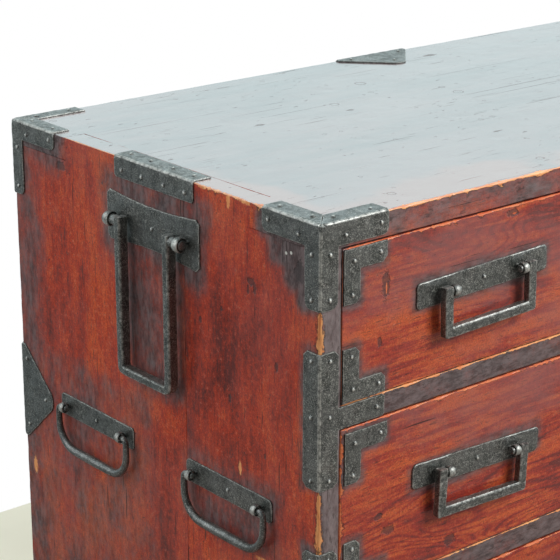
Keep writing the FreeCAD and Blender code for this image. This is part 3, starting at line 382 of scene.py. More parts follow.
class Rub:
    """A stretch of an arris where the lacquer has worn off.

    axis is the arris's direction, at its other two coordinates, and it runs from start to stop. width
    is how far the wear reaches from the arris and fade how far its ends run out, in millimetres."""

    def __init__(self, axis, at, start, stop, width, fade=6.0, least=0.0):
        self.axis, self.at, self.start, self.stop = axis, at, start, stop
        self.width, self.fade, self.least = width * MM, fade * MM, least

    def reach(self, points, seed):
        """Distance from the arris, and the width of the wear beside each point: the stated width,
        raggedly more and less along the arris, fading out at both ends."""
        a, b = (points[:, i] for i in range(3) if i != self.axis)
        line = points[:, [self.axis]]
        fade = ease(line[:, 0], self.start, self.start + self.fade)
        fade *= 1.0 - ease(line[:, 0], self.stop - self.fade, self.stop)
        ragged = 0.75 + 0.35 * swell(line, 46 * MM, seed) + 0.3 * swell(line, 11 * MM, seed + 1)
        return np.hypot(a - self.at[0], b - self.at[1]), self.width * fade * np.clip(ragged, self.least, 1.6)


class Dirt:
    """Dark patina round an iron: full in the box between two corners, gone at reach from it, which is
    in millimetres."""

    def __init__(self, low, high, reach, amount):
        self.low, self.high = np.minimum(low, high), np.maximum(low, high)
        self.reach, self.amount = reach, amount

    def at(self, points):
        """How thick the patina is at each point."""
        beyond = np.maximum(np.maximum(self.low - points, points - self.high), 0.0)
        return self.amount * (1.0 - ease(np.linalg.norm(beyond, axis=1), 0.0, self.reach * MM))

    def mirrored(self):
        """The same patch on the other side."""
        flip = [-1.0, 1.0, 1.0]
        return Dirt(self.low * flip, self.high * flip, self.reach, self.amount)


def dirt_on(axis, at, rows):
    """Patches on the face that crosses an axis at a place. A row holds two coordinates in the face of
    one corner and of the other, then the reach and the amount."""
    return [Dirt(np.insert([a, b], axis, at - MM), np.insert([c, d], axis, at + MM), reach, amount)
            for a, b, c, d, reach, amount in rows]


def board_skin(node, seed, spacing, notches=(), rubs=(), dirt=(), dents=(), knocks=0, plank=0.0, arris=None):
    """A worn board as a skin, in the place of a node.

    The node's box is cut into grid cells, the cells inside the notches are left out, and the rest is
    skinned. Each arris is rounded by pulling a point that lies within its radius of two faces onto a
    circle: inner = the point clamped to the box less the radius, new = inner + radius * direction.
    The radius grows where the arris is rubbed. Then the faces move inwards by a smooth wander and by
    dents, each a bowl depth * (1 - (distance / radius) ** 2) ** 2.

    spacing is the distance between grid lines along X, Y and Z. A dent holds its place, radius and
    depth, and knocks is how many more are put at random. plank sets a board's grain off from others."""
    wear = bpy.context.scene.chest_wear
    arris = arris or wear.arris
    low, high = corners_of(node)
    lines = []
    for axis in range(3):
        marks = [edge[axis] for notch in notches for edge in notch]
        lines.append(grid_lines(low[axis], high[axis], spacing[axis], ARRIS_LINES, marks))
    middles = [(line[1:] + line[:-1]) / 2.0 for line in lines]
    filled = np.ones([len(m) for m in middles], bool)
    for a, b in notches:
        x, y, z = ((m > a[i]) & (m < b[i]) for i, m in enumerate(middles))
        filled &= ~(x[:, None, None] & y[None, :, None] & z[None, None, :])
    skin = lattice_skin(lines, filled)
    points = skin.points

    radius = arris * (1.0 + 0.4 * swell(points, 70 * MM, seed) + 0.25 * swell(points, 9 * MM, seed + 1))
    bare = np.zeros(len(points))
    for number, rub in enumerate(rubs):
        away, width = rub.reach(points, seed + 10 + 3 * number)
        close = np.where(width > LEAST_WEAR, 1.0 - away / np.maximum(width, LEAST_WEAR), 0.0)
        bare = np.maximum(bare, np.clip(close, 0.0, 1.0))
        radius = np.maximum(radius, np.where(away < BY_ARRIS, arris + 0.55 * width, 0.0))
    radius = np.clip(radius, 0.1 * MM, 0.45 * (high - low).min())[:, None]
    inner = np.clip(points, low + radius, high - radius)
    out = points - inner
    distance = np.linalg.norm(out, axis=1)[:, None]
    skin.points = inner + out * np.where(distance > radius, radius / np.maximum(distance, 1e-9), 1.0)
    facing = out / np.maximum(distance, 1e-9) * (distance > 0.9 * radius)

    rng = np.random.default_rng(seed + 5)
    sink = wear.swell * (0.6 + 0.4 * swell(points, 140 * MM, seed + 2))
    sink += 0.35 * wear.swell * np.abs(swell(points, 26 * MM, seed + 3))
    bowls = [np.array(d, float) for d in dents]
    for _ in range(knocks):
        spot = low + (high - low) * rng.uniform(0.02, 0.98, 3)
        size = rng.uniform(3.0, 9.0) * MM
        bowls.append(np.array([*spot, size, wear.dent * rng.uniform(0.3, 1.0)]))
    plane = [i for i in range(3) if i != np.argmin(high - low)]
    for bowl in bowls:
        gap = np.linalg.norm(points[:, plane] - bowl[plane], axis=1) / bowl[3]
        sink += bowl[4] * np.clip(1.0 - gap * gap, 0.0, 1.0) ** 2
    skin.points -= facing * sink[:, None]
    grime = reduce(np.maximum, [patch.at(points) for patch in dirt], np.zeros(len(points)))
    skin.marks = {"bare": bare, "grime": grime, "plank": np.full(len(points), plank)}
    return skin


# ---- plates ----


HAND_CUT = 0.12 * MM  # how far a plate's outline wanders inwards


def trace(corners, step=1.8 * MM):
    """A closed outline through corners (u, v) or (u, v, radius), with an arc where a radius is given.
    The arc touches both runs: it starts at radius / tan(half the corner's angle) from the corner."""
    stretches = []
    count = len(corners)
    points = np.array([corner[:2] for corner in corners], float)
    for i, point in enumerate(points):
        radius = sum(corners[i][2:])
        if not radius:
            stretches.append(point[None])
            continue
        back, ahead = points[i - 1] - point, points[(i + 1) % count] - point
        back /= np.linalg.norm(back)
        ahead /= np.linalg.norm(ahead)
        half = math.acos(np.clip(back @ ahead, -1.0, 1.0)) / 2.0
        centre = point + (back + ahead) / np.linalg.norm(back + ahead) * radius / math.sin(half)
        first = point + back * radius / math.tan(half) - centre
        last = point + ahead * radius / math.tan(half) - centre
        begin = math.atan2(first[1], first[0])
        sweep = (math.atan2(last[1], last[0]) - begin + math.pi) % (2.0 * math.pi) - math.pi
        angles = begin + sweep * np.linspace(0.0, 1.0, max(4, int(abs(sweep) * radius / step * 1.6) + 1))
        stretches.append(centre + radius * np.stack([np.cos(angles), np.sin(angles)], axis=1))
    outline = []
    for i, stretch in enumerate(stretches):
        after = stretches[(i + 1) % count][0]
        run = np.linalg.norm(after - stretch[-1])
        parts = np.linspace(0.0, 1.0, max(1, int(run / step)) + 1)[1:-1, None]
        outline += [stretch, stretch[-1] + (after - stretch[-1]) * parts]
    outline = np.concatenate(outline)
    following = np.roll(outline, -1, axis=0)
    area = (outline[:, 0] * following[:, 1] - outline[:, 1] * following[:, 0]).sum()
    return outline if area > 0.0 else outline[::-1]


def inside(outline, points):
    """Whether each point is inside: a line to its right crosses the outline an odd number of times."""
    a, b = outline[None], np.roll(outline, -1, axis=0)[None]
    p = points[:, None]
    straddles = (a[..., 1] > p[..., 1]) != (b[..., 1] > p[..., 1])
    rise = np.where(straddles, b[..., 1] - a[..., 1], 1.0)
    crossing = a[..., 0] + (p[..., 1] - a[..., 1]) * (b[..., 0] - a[..., 0]) / rise
    return (straddles & (p[..., 0] < crossing)).sum(axis=1) % 2 == 1


def plate_skin(outline, place, seed, folds=(), spacing=2.4 * MM, lift=None):
    """A hand-cut plate as a skin.

    An edge profile of four (inset, height) steps is carried round the outline, each point moved in by
    the inset times (n1 + n2) / (1 + n1 . n2), where n1 and n2 are the normals of the runs beside it.
    The face inside is a net of even points, with close rows where the plate is folded, joined by
    Delaunay triangles; it sinks under smooth hammer marks. place turns (u, v, height) into X, Y, Z."""
    irons = bpy.context.scene.chest_irons
    t = irons.thickness
    runs = np.roll(outline, -1, axis=0) - outline
    normals = units(np.column_stack([-runs[:, 1], runs[:, 0]]))
    before = np.roll(normals, 1, axis=0)
    mitre = (normals + before) / (1.0 + np.einsum("ij,ij->i", normals, before))[:, None]
    waver = HAND_CUT * (1.0 + swell(outline, 17 * MM, seed))
    steps = ((0.0, 0.0), (0.0, 0.55), (0.16, 0.88), (0.5, 1.0))
    rings = [outline + mitre * (inset * t + waver)[:, None] for inset, _ in steps]
    heights = [np.full(len(outline), rise * t) for _, rise in steps]

    low, high = outline.min(axis=0), outline.max(axis=0)
    net = np.stack(np.meshgrid(np.arange(low[0], high[0], spacing), np.arange(low[1], high[1], spacing)), -1)
    net = net.reshape(-1, 2)
    quarter = irons.bend * math.pi / 4.0
    for axis, at in folds:
        net = net[np.abs(net[:, axis] - at) > 1.1 * spacing]
        rows = at + quarter * np.array([-3.0, -1.0, -0.4, 0.4, 1.0, 3.0])
        along = np.arange(low[1 - axis], high[1 - axis], spacing)
        row, line = (grid.ravel() for grid in np.meshgrid(rows, along))
        net = np.concatenate([net, np.stack([row, line] if axis == 0 else [line, row], axis=1)])
    inner = rings[-1]
    net = net[inside(inner, net)]
    net = net[np.linalg.norm(net[:, None] - inner[None], axis=2).min(axis=1) > 0.45 * spacing]
    count = len(outline)
    flat = np.concatenate([inner, net])
    made = delaunay_2d_cdt([Vector(p) for p in flat.tolist()], [], [list(range(count))], 1, 1e-9)
    origin = np.array([o[0] for o in made[3]])
    tris = origin[np.array(made[2], int)]
    a, b, c = (flat[tris[:, i]] for i in range(3))
    backwards = (b - a)[:, 0] * (c - a)[:, 1] - (b - a)[:, 1] * (c - a)[:, 0] < 0.0
    tris[backwards] = tris[backwards][:, ::-1]

    marks = irons.hammer * (0.5 + 0.35 * swell(flat, 9 * MM, seed + 1) + 0.15 * swell(flat, 4 * MM, seed + 2))
    face = t - marks + (0.0 if lift is None else lift(flat))
    heights[-1] = face[:count]
    heights[-2] = heights[-2] - 0.5 * marks[:count]
    ring_points = np.concatenate([np.column_stack([r, h]) for r, h in zip(rings, heights)])
    points = np.concatenate([ring_points, np.column_stack([net, face[count:]]),
                             np.column_stack([net, np.zeros(len(net))])])
    quads = tube_faces(len(steps), count)[0]
    last = count * (len(steps) - 1)
    face_tris = tris + last
    under_tris = np.where(tris < count, tris, tris + last + len(net))[:, ::-1]
    rub = np.concatenate([np.repeat([0.0, 0.45, 1.0, 0.6], count), np.zeros(2 * len(net))])
    for axis, at in folds:
        rub = np.maximum(rub, 0.9 * (1.0 - ease(np.abs(points[:, axis] - at), 0.3 * MM, 1.1 * MM)))
    return Skin(place(points), quads, np.concatenate([face_tris, under_tris]), {"rub": rub}).outward()


def folded(across, height):
    """A sheet folded square over an edge, as two distances from the edge: along the second face and
    along the first. across runs from the first face (negative) to the second (positive). Beyond the
    bend the sheet is straight; inside it turns about a centre at (bend, bend) with radius
    bend + height."""
    bend = bpy.context.scene.chest_irons.bend
    quarter = bend * math.pi / 4.0
    straight = bend + np.abs(across) - quarter
    angle = np.clip((across + quarter) / (2.0 * quarter), 0.0, 1.0) * math.pi / 2.0
    second = bend - (bend + height) * np.cos(angle)
    first = bend - (bend + height) * np.sin(angle)
    second = np.where(across > quarter, straight, second)
    first = np.where(across < -quarter, straight, first)
    return second, first


def on_front_left_post(points):
    """(across, height above the floor, plate height) on the left post: across is negative on the
    side and positive on the front."""
    x, y = folded(points[:, 0], points[:, 2])
    return np.column_stack([x - HALF_WIDTH, y + FRONT, points[:, 1]])


def on_front_top_left(points):
    """(across, down from the top, plate height) over the front left top corner: first folded over
    the top edge, then round the post."""
    down, in_from_face = folded(points[:, 1], points[:, 2])
    x, y = folded(points[:, 0], -in_from_face)
    return np.column_stack([x - HALF_WIDTH, y + FRONT, HEIGHT - down])


def on_left_top_edge(points):
    """(y, down the side from the top edge, plate height); down is negative on the top."""
    down, x = folded(points[:, 1], points[:, 2])
    return np.column_stack([x - HALF_WIDTH, points[:, 0], HEIGHT - down])


def on_rear_left_post(points):
    """(across, z, plate height): across is negative on the back and positive on the side."""
    y, x = folded(points[:, 0], points[:, 2])
    return np.column_stack([x - HALF_WIDTH, REAR - y, points[:, 1]])


def on_rear_top_edge(points):
    """(x, across, plate height): across is negative on the back and positive on the top."""
    y, down = folded(points[:, 1], points[:, 2])
    return np.column_stack([points[:, 0], REAR - y, HEIGHT - down])


def on_front(points):
    """(x, z, plate height) on the front."""
    return np.column_stack([points[:, 0], FRONT - points[:, 2], points[:, 1]])


def on_wood(points):
    """(x, z, plate height) in a handle's own frame, where the wood's face is y = 0 and faces -y."""
    return np.column_stack([points[:, 0], -points[:, 2], points[:, 1]])


def corner_iron(width, leg, seed, cap):
    """A corner iron laid flat: two arms, two upright legs side by side and, where it has a cap, two
    flaps mitred at the corner. u runs round the post and v down from the top edge, and an iron with
    no cap starts a little below the edge."""
    irons = bpy.context.scene.chest_irons
    arm, rounding = irons.corner_arm, irons.corner_round
    top = -width if cap else 1.2 * irons.bend
    half = [(arm, top), (arm, width, rounding), (leg, width), (leg, arm, rounding)]
    other = [(-u, v, *rest) for u, v, *rest in reversed(half)]
    mitre = 0.3 * MM
    middle = [(-width, top), (-mitre, 0.0), (mitre, 0.0), (width, top)] if cap else []
    folds = ((0, 0.0), (1, 0.0)) if cap else ((0, 0.0),)
    return plate_skin(trace(half + other + middle), on_front_top_left, seed, folds)


def post_iron(low, high, seed):
    """low and high are the heights of the rail that its leg lies on."""
    irons = bpy.context.scene.chest_irons
    clip = irons.clip
    middle = (low + high) / 2.0
    top, bottom = middle + irons.post_height / 2.0, middle - irons.post_height / 2.0
    side, face, leg = -irons.post_side, irons.post_front, irons.rail_leg
    over, under = high - 0.5 * MM, low + 0.5 * MM
    outline = trace([
        (side, bottom + clip), (side + clip, bottom), (face - clip, bottom), (face, bottom + clip),
        (face, under, 1 * MM), (leg - clip / 2, under), (leg, under + clip / 2), (leg, over - clip / 2),
        (leg - clip / 2, over), (face, over, 1 * MM), (face, top - clip), (face - clip, top),
        (side + clip, top), (side, top - clip)])
    return plate_skin(outline, on_front_left_post, seed, ((0, 0.0),))


def leaf_outline():
    """The pointed plate laid flat: a nose each side of the fold, which runs along v."""
    irons = bpy.context.scene.chest_irons
    half, foot, reach, nose = irons.leaf_length / 2.0, irons.leaf_foot, irons.leaf_reach, irons.leaf_nose
    lean = math.atan2(half - 9 * MM, reach - 4 * MM - foot)
    point = reach + nose / math.sin(lean) - nose
    right = [(foot, -half), (point, 0.0, nose), (foot, half)]
    return right + [(-u, -v, *rest) for u, v, *rest in right]


# ---- bars, eyes and nails ----


def section(sides, power):
    """A closed cross-section: |a| ** power + |b| ** power = 1, a circle at 2 and squarer above it."""
    angle = np.linspace(0.0, 2.0 * math.pi, sides, endpoint=False) + math.pi / sides
    a, b = np.cos(angle), np.sin(angle)
    size = (np.abs(a) ** power + np.abs(b) ** power) ** (-1.0 / power)
    return a * size, b * size


def tube_faces(rings, sides):
    """Four-sided faces of a tube, ring by ring, and three-sided ones to a pole at each end. The poles
    are the two points after the rings."""
    ring = np.arange(sides)
    ahead = np.roll(ring, -1)
    around = np.stack([ring, ahead, ahead + sides, ring + sides], axis=1)
    quads = np.concatenate([around + sides * k for k in range(rings - 1)])
    pole, last = np.full(sides, rings * sides), sides * (rings - 1)
    return quads, np.concatenate([np.stack([ahead, ring, pole], axis=1),
                                  np.stack([ring + last, ahead + last, pole + 1], axis=1)])


def both_halves(half):
    """The whole of a path, or of what goes along it, from its first half and the middle."""
    return np.concatenate([half, half[-2::-1] * ([-1.0, 1.0] if half.ndim > 1 else 1.0)])


def square_to(path):
    """Directions across a flat path, square to the way from each point's neighbour to the next."""
    heading = units(np.gradient(path, axis=0))
    return np.column_stack([-heading[:, 1], heading[:, 0]])


def bar_skin(middles, normals, half_in, half_out, power=2.0, sides=16, seed=None, dents=0.0, mark=0.0):
    """A bar swept along a flat path in the X Z plane, with closed ends.

    Each station has a middle, a direction across the path in its plane, and two half sizes: across
    in the plane and out of it. A point is middle + normal * a * half_in, moved by b * half_out in Y,
    where (a, b) runs round the cross-section. Smooth dents press it in."""
    count = len(middles)
    a, b = section(sides, power)
    flat = middles[:, None] + normals[:, None] * (a[None] * half_in[:, None])[..., None]
    points = np.stack([flat[..., 0], b[None] * half_out[:, None], flat[..., 1]], axis=-1)
    if dents:
        press = dents * np.clip(0.5 + 0.5 * swell(points.reshape(-1, 3), 8 * MM, seed), 0.0, 1.3)
        centre = np.stack([middles[:, 0], np.zeros(count), middles[:, 1]], axis=-1)[:, None]
        away = points - centre
        far = np.linalg.norm(away, axis=2, keepdims=True)
        points = points - away / np.maximum(far, 1e-9) * np.minimum(press.reshape(count, sides, 1), 0.4 * far)
    poles = [points[0].mean(axis=0), points[-1].mean(axis=0)]
    rub = np.full(count * sides + 2, mark)
    edge = np.minimum(np.abs(a), np.abs(b)) if power > 2.5 else np.zeros(sides)
    rub[:count * sides] = np.maximum(mark, np.tile(ease(edge, 0.62, 0.8), count))
    points = np.concatenate([points.reshape(-1, 3), poles])
    return Skin(points, *tube_faces(count, sides), {"rub": rub}).outward()


def pintle_skin(start, stop, radius, seed):
    """A round stub along X at the origin's height, from start to stop, with a softened end."""
    way = math.copysign(1.0, stop - start)
    run = np.array([0.0, 0.25, 0.5, 0.75, 0.9, 0.97, 1.0]) * (abs(stop - start))
    size = radius * np.array([1.0, 1.0, 1.0, 1.0, 1.0, 0.86, 0.5])
    middles = np.column_stack([start + way * run, np.zeros(len(run))])
    normals = np.tile([0.0, 1.0], (len(run), 1))
    return bar_skin(middles, normals, size, size, seed=seed, dents=0.05 * MM)


def square_bail(width, drop, face, bar, head, inner_round, power, seed):
    """Three sides of a rectangle as one bar.

    Down a leg each station spans the bar from its inner to its outer side. At a corner the stations
    fan out about the centre of the inner rounding; the outer side lies at
    (rounding + face) / (|cos| ** power + |sin| ** power) ** (1 / power) from it, which is a quarter
    circle at power 2 and a square corner at high powers."""
    near = width / 2.0 - face
    ends = np.array([[0.0, 0.45], [0.06, 0.8], [0.35, 0.97], [1.2, 1.0]])
    lowest = -drop + face + inner_round
    heights = np.concatenate([head - ends[:, 0] * MM, np.linspace(head - 3 * MM, lowest, 9)[:-1]])
    scale = np.concatenate([ends[:, 1], np.ones(8)])
    leg = np.column_stack([np.full(len(heights), -near - face / 2.0), heights])
    leg_normals = np.tile([-1.0, 0.0], (len(heights), 1))
    theta = np.linspace(0.0, math.pi / 2.0, 11)
    heading = -np.column_stack([np.cos(theta), np.sin(theta)])
    far = (inner_round + face) / (np.cos(theta) ** power + np.abs(np.sin(theta)) ** power) ** (1.0 / power)
    span = far - inner_round
    pivot = np.array([-near + inner_round, lowest])
    elbow = pivot + heading * (inner_round + span / 2.0)[:, None]
    across = np.linspace(-near + inner_round, 0.0, 9)[1:]
    floor = np.column_stack([across, np.full(len(across), -drop + face / 2.0)])
    floor_normals = np.tile([0.0, -1.0], (len(across), 1))
    middles = np.concatenate([leg, elbow, floor])
    normals = np.concatenate([leg_normals, heading, floor_normals])
    half_in = np.concatenate([scale * face / 2.0, span / 2.0, np.full(len(across), face / 2.0)])
    half_out = np.concatenate([scale, np.ones(len(theta) + len(across))]) * bar / 2.0
    whole = [both_halves(half) for half in (middles, normals, half_in, half_out)]
    return bar_skin(*whole, power=7.0, sides=24, seed=seed, dents=0.28 * MM, mark=0.5)


def split_pin(pivot_out, hole, wall, width, depth, clinch, seed):
    """A split pin in a handle's own frame, its eye round the X axis at y = -pivot_out.

    Its half-round wire runs in the Y Z plane: a turned-over end, the shank, round the eye, back
    along the shank and out to the other turned-over end. It is made in the X Z plane and turned."""
    mid = hole + wall / 2.0
    leg = wall / 2.0 + 0.12 * MM
    gape = math.asin(min(1.0, leg / mid))
    inner = depth - wall / 2.0
    bend = 1.4 * MM
    arc = np.linspace(0.0, math.pi / 2.0, 5)
    tip = np.column_stack([np.full(3, inner), np.array([clinch, clinch - 0.6 * MM, clinch - 3 * MM])])
    elbow = np.column_stack([inner - bend + bend * np.cos(arc), leg + bend - bend * np.sin(arc)])
    loop = np.linspace(gape, math.pi, 12)
    neck = -pivot_out + mid * math.cos(gape)
    shank = np.column_stack([np.linspace(inner - bend, neck, 6)[1:-1], np.full(4, leg)])
    ring = np.column_stack([-pivot_out + mid * np.cos(loop), mid * np.sin(loop)])
    upper = np.concatenate([tip, elbow, shank, ring])
    # Half sizes in millimetres of the turned-over end, the elbow, the shank and the eye.
    wide = np.concatenate([[1.2, 1.7, 1.8], np.full(5, 1.8), np.full(4, 1.9),
                           np.linspace(2.2, width / MM / 2, 12)])
    thick = np.concatenate([[0.3, 0.7, 0.8], np.full(5, 0.8), np.full(4, 0.85), np.full(12, wall / MM / 2)])
    path = np.concatenate([upper, upper[-2::-1] * [1.0, -1.0]])
    skin = bar_skin(path, square_to(path), both_halves(thick) * MM, both_halves(wide) * MM, power=2.6,
                    sides=12, seed=seed, dents=0.05 * MM)
    # The path's X and Z become Y and Z, and its width becomes X.
    out = skin.moved(np.array([[0.0, 1.0, 0.0], [1.0, 0.0, 0.0], [0.0, 0.0, 1.0]]))
    # The outer half of the eye is painted pale as a painted highlight.
    shine = ease(-out.points[:, 1], pivot_out - 1 * MM, pivot_out + mid)
    out.marks = {"rub": 0.95 * shine}
    return out


def solids_of(node):
    """The corner points of each separate solid of a node. Points that share a triangle take the
    lowest number among them, again and again until nothing changes."""
    mesh = frame["nodes"][node].data
    mesh.calc_loop_triangles()
    points = np.empty(len(mesh.vertices) * 3, np.float32)
    mesh.vertices.foreach_get("co", points)
    points = points.reshape(-1, 3).astype(float)
    tris = np.empty(len(mesh.loop_triangles) * 3, np.int32)
    mesh.loop_triangles.foreach_get("vertices", tris)
    _, same = np.unique(np.round(points, 6), axis=0, return_inverse=True)
    same = same.ravel()
    corners = same[tris.reshape(-1, 3)]
    label = np.arange(same.max() + 1)
    while True:
        lowest = np.repeat(label[corners].min(axis=1), 3)
        fresh = label.copy()
        np.minimum.at(fresh, corners.ravel(), lowest)
        fresh = fresh[fresh]
        if (fresh == label).all():
            break
        label = fresh
    mine = label[same]
    return [points[mine == one] for one in np.unique(mine)]


def nail_skin(node, seed):
    """Every nail of a node, each at the place and facing the way of one of the node's solids.

    A head is a profile turned round its axis: a pole, four rings down the dome, the rim and the
    shank. Each is leaned a little, made larger or smaller, and turned by a random angle."""
    sides = 9
    radius = np.array([0.7, 1.3, 1.85, 2.25, 2.2, 1.1, 0.9]) * MM
    height = np.array([1.04, 0.8, 0.42, 0.02, -0.35, -0.4, -7.4]) * MM
    # How pale each ring is painted, from the top down: a painted highlight on the top of the dome, and a rim kept
    # dark as painted shade.
    bright = np.array([1.3, 0.7, 0.0, -0.4, -0.4, 0.0, 0.0])
    around = np.arange(sides) * 2.0 * math.pi / sides
    rings = np.stack([radius[:, None] * np.cos(around), radius[:, None] * np.sin(around),
                      np.repeat(height[:, None], sides, axis=1)], axis=-1).reshape(-1, 3)
    nail = np.concatenate([rings, [[0.0, 0.0, 1.18 * MM], [0.0, 0.0, -7.6 * MM]]])
    marks = np.concatenate([np.repeat(bright, sides), [1.3, 0.0]])
    quads, tris = tube_faces(len(radius), sides)
    quads, tris = quads[:, [0, 3, 2, 1]], tris[:, [1, 0, 2]]
    rng = np.random.default_rng(seed)
    nails = []
    for points in solids_of(node):
        low, high = points.min(axis=0), points.max(axis=0)
        axis = np.argmax(high - low)
        middle = (low + high) / 2.0
        wide = np.abs(np.delete(points - middle, axis, axis=1)).max(axis=1) > 1.4 * MM
        way = math.copysign(1.0, points[wide][:, axis].mean() - middle[axis])
        seat = middle.copy()
        seat[axis] = (high if way > 0 else low)[axis] - way * 1.2 * MM
        out = Vector([way if i == axis else 0.0 for i in range(3)])
        aim = np.array(out.to_track_quat("Z", "Y").to_matrix())
        lean = turn("X", rng.normal(0.0, 4.0)) @ turn("Y", rng.normal(0.0, 4.0))
        lean = lean @ turn("Z", rng.uniform(0, 360))
        size = np.diag([rng.uniform(0.88, 1.06), rng.uniform(0.88, 1.06), rng.uniform(0.8, 1.02)])
        nails.append(Skin(nail, quads, tris, {"rub": marks}).moved(aim @ lean @ size, seat))
    return joined(nails)


# ---- finishes ----


class Value:
    """A number that a shader works out at each point. Its signs add Math nodes: a + b, a - b, a * b,
    a / b, and a | b for the greater of the two."""

    def __init__(self, nodes, socket):
        self.nodes, self.socket = nodes, socket

    def math(self, operation, other):
        """What a Math node makes of this number and another."""
        node = self.nodes.add("ShaderNodeMath", operation=operation)
        self.nodes.feed(node.inputs[0], self)
        self.nodes.feed(node.inputs[1], other)
        return Value(self.nodes, node.outputs[0])

    __add__ = partialmethod(math, "ADD")
    __sub__ = partialmethod(math, "SUBTRACT")
    __mul__ = partialmethod(math, "MULTIPLY")
    __truediv__ = partialmethod(math, "DIVIDE")
    __or__ = partialmethod(math, "MAXIMUM")

    def clipped(self):
        """The same number, kept between 0 and 1."""
        self.socket.node.use_clamp = True
        return self


class Nodes:
    """A shader put together one node at a time. Each method adds a node and returns its result."""

    def __init__(self, tree):
        self.tree = tree

    def add(self, kind, **settings):
        """A new node with these settings."""
        node = self.tree.nodes.new(kind)
        for key, value in settings.items():
            setattr(node, key, value)
        return node

    def feed(self, socket, value):
        """Link a result to a socket, or set the socket to a plain value."""
        if isinstance(value, Value):
            value = value.socket
        if isinstance(value, bpy.types.NodeSocket):
            self.tree.links.new(value, socket)
        elif socket.type == "RGBA" and len(value) == 3:
            socket.default_value = (*value, 1.0)
        else:
            socket.default_value = value

    def fed(self, node, result, **values):
        """The node's result, once each value is fed to the input named before it."""
        for key, value in values.items():
            self.feed(node.inputs[key.replace("_", " ")], value)
        return node.outputs[result]

    def vector(self, operation, *vectors, result="Vector"):
        """A vector, or with the result "Value" a number, worked out from vectors."""
        node = self.add("ShaderNodeVectorMath", operation=operation)
        for socket, vector in zip(node.inputs, vectors):
            self.feed(socket, vector)
        return node.outputs[result]

    def scaled(self, vector, scale):
        """A vector made longer or shorter."""
        node = self.add("ShaderNodeVectorMath", operation="SCALE")
        self.feed(node.inputs[0], vector)
        return self.fed(node, 0, Scale=scale)

    def level(self, value, low, high, start=0.0, stop=1.0):
        """value between low and high, spread smoothly from start to stop."""
        node = self.add("ShaderNodeMapRange", interpolation_type="SMOOTHSTEP")
        return Value(self, self.fed(node, 0, Value=value, From_Min=low, From_Max=high, To_Min=start,
                                    To_Max=stop))

    def between(self, factor, a, b):
        """A number from a to b."""
        node = self.add("ShaderNodeMix", data_type="FLOAT")
        for index, item in ((0, factor), (2, a), (3, b)):
            self.feed(node.inputs[index], item)
        return Value(self, node.outputs[0])

    def mix(self, factor, a, b, blend="MIX"):
        """A colour from a to b."""
        node = self.add("ShaderNodeMix", data_type="RGBA", blend_type=blend)
        for index, item in ((0, factor), (6, a), (7, b)):
            self.feed(node.inputs[index], item)
        return node.outputs[2]

    def ramp(self, value, *stops):
        """Colours at places along value."""
        node = self.add("ShaderNodeValToRGB")
        self.feed(node.inputs[0], value)
        elements = node.color_ramp.elements
        while len(elements) < len(stops):
            elements.new(0.5)
        for element, (place, tone) in zip(elements, stops):
            element.position = place
            element.color = (*tone, 1.0)
        return node.outputs[0]


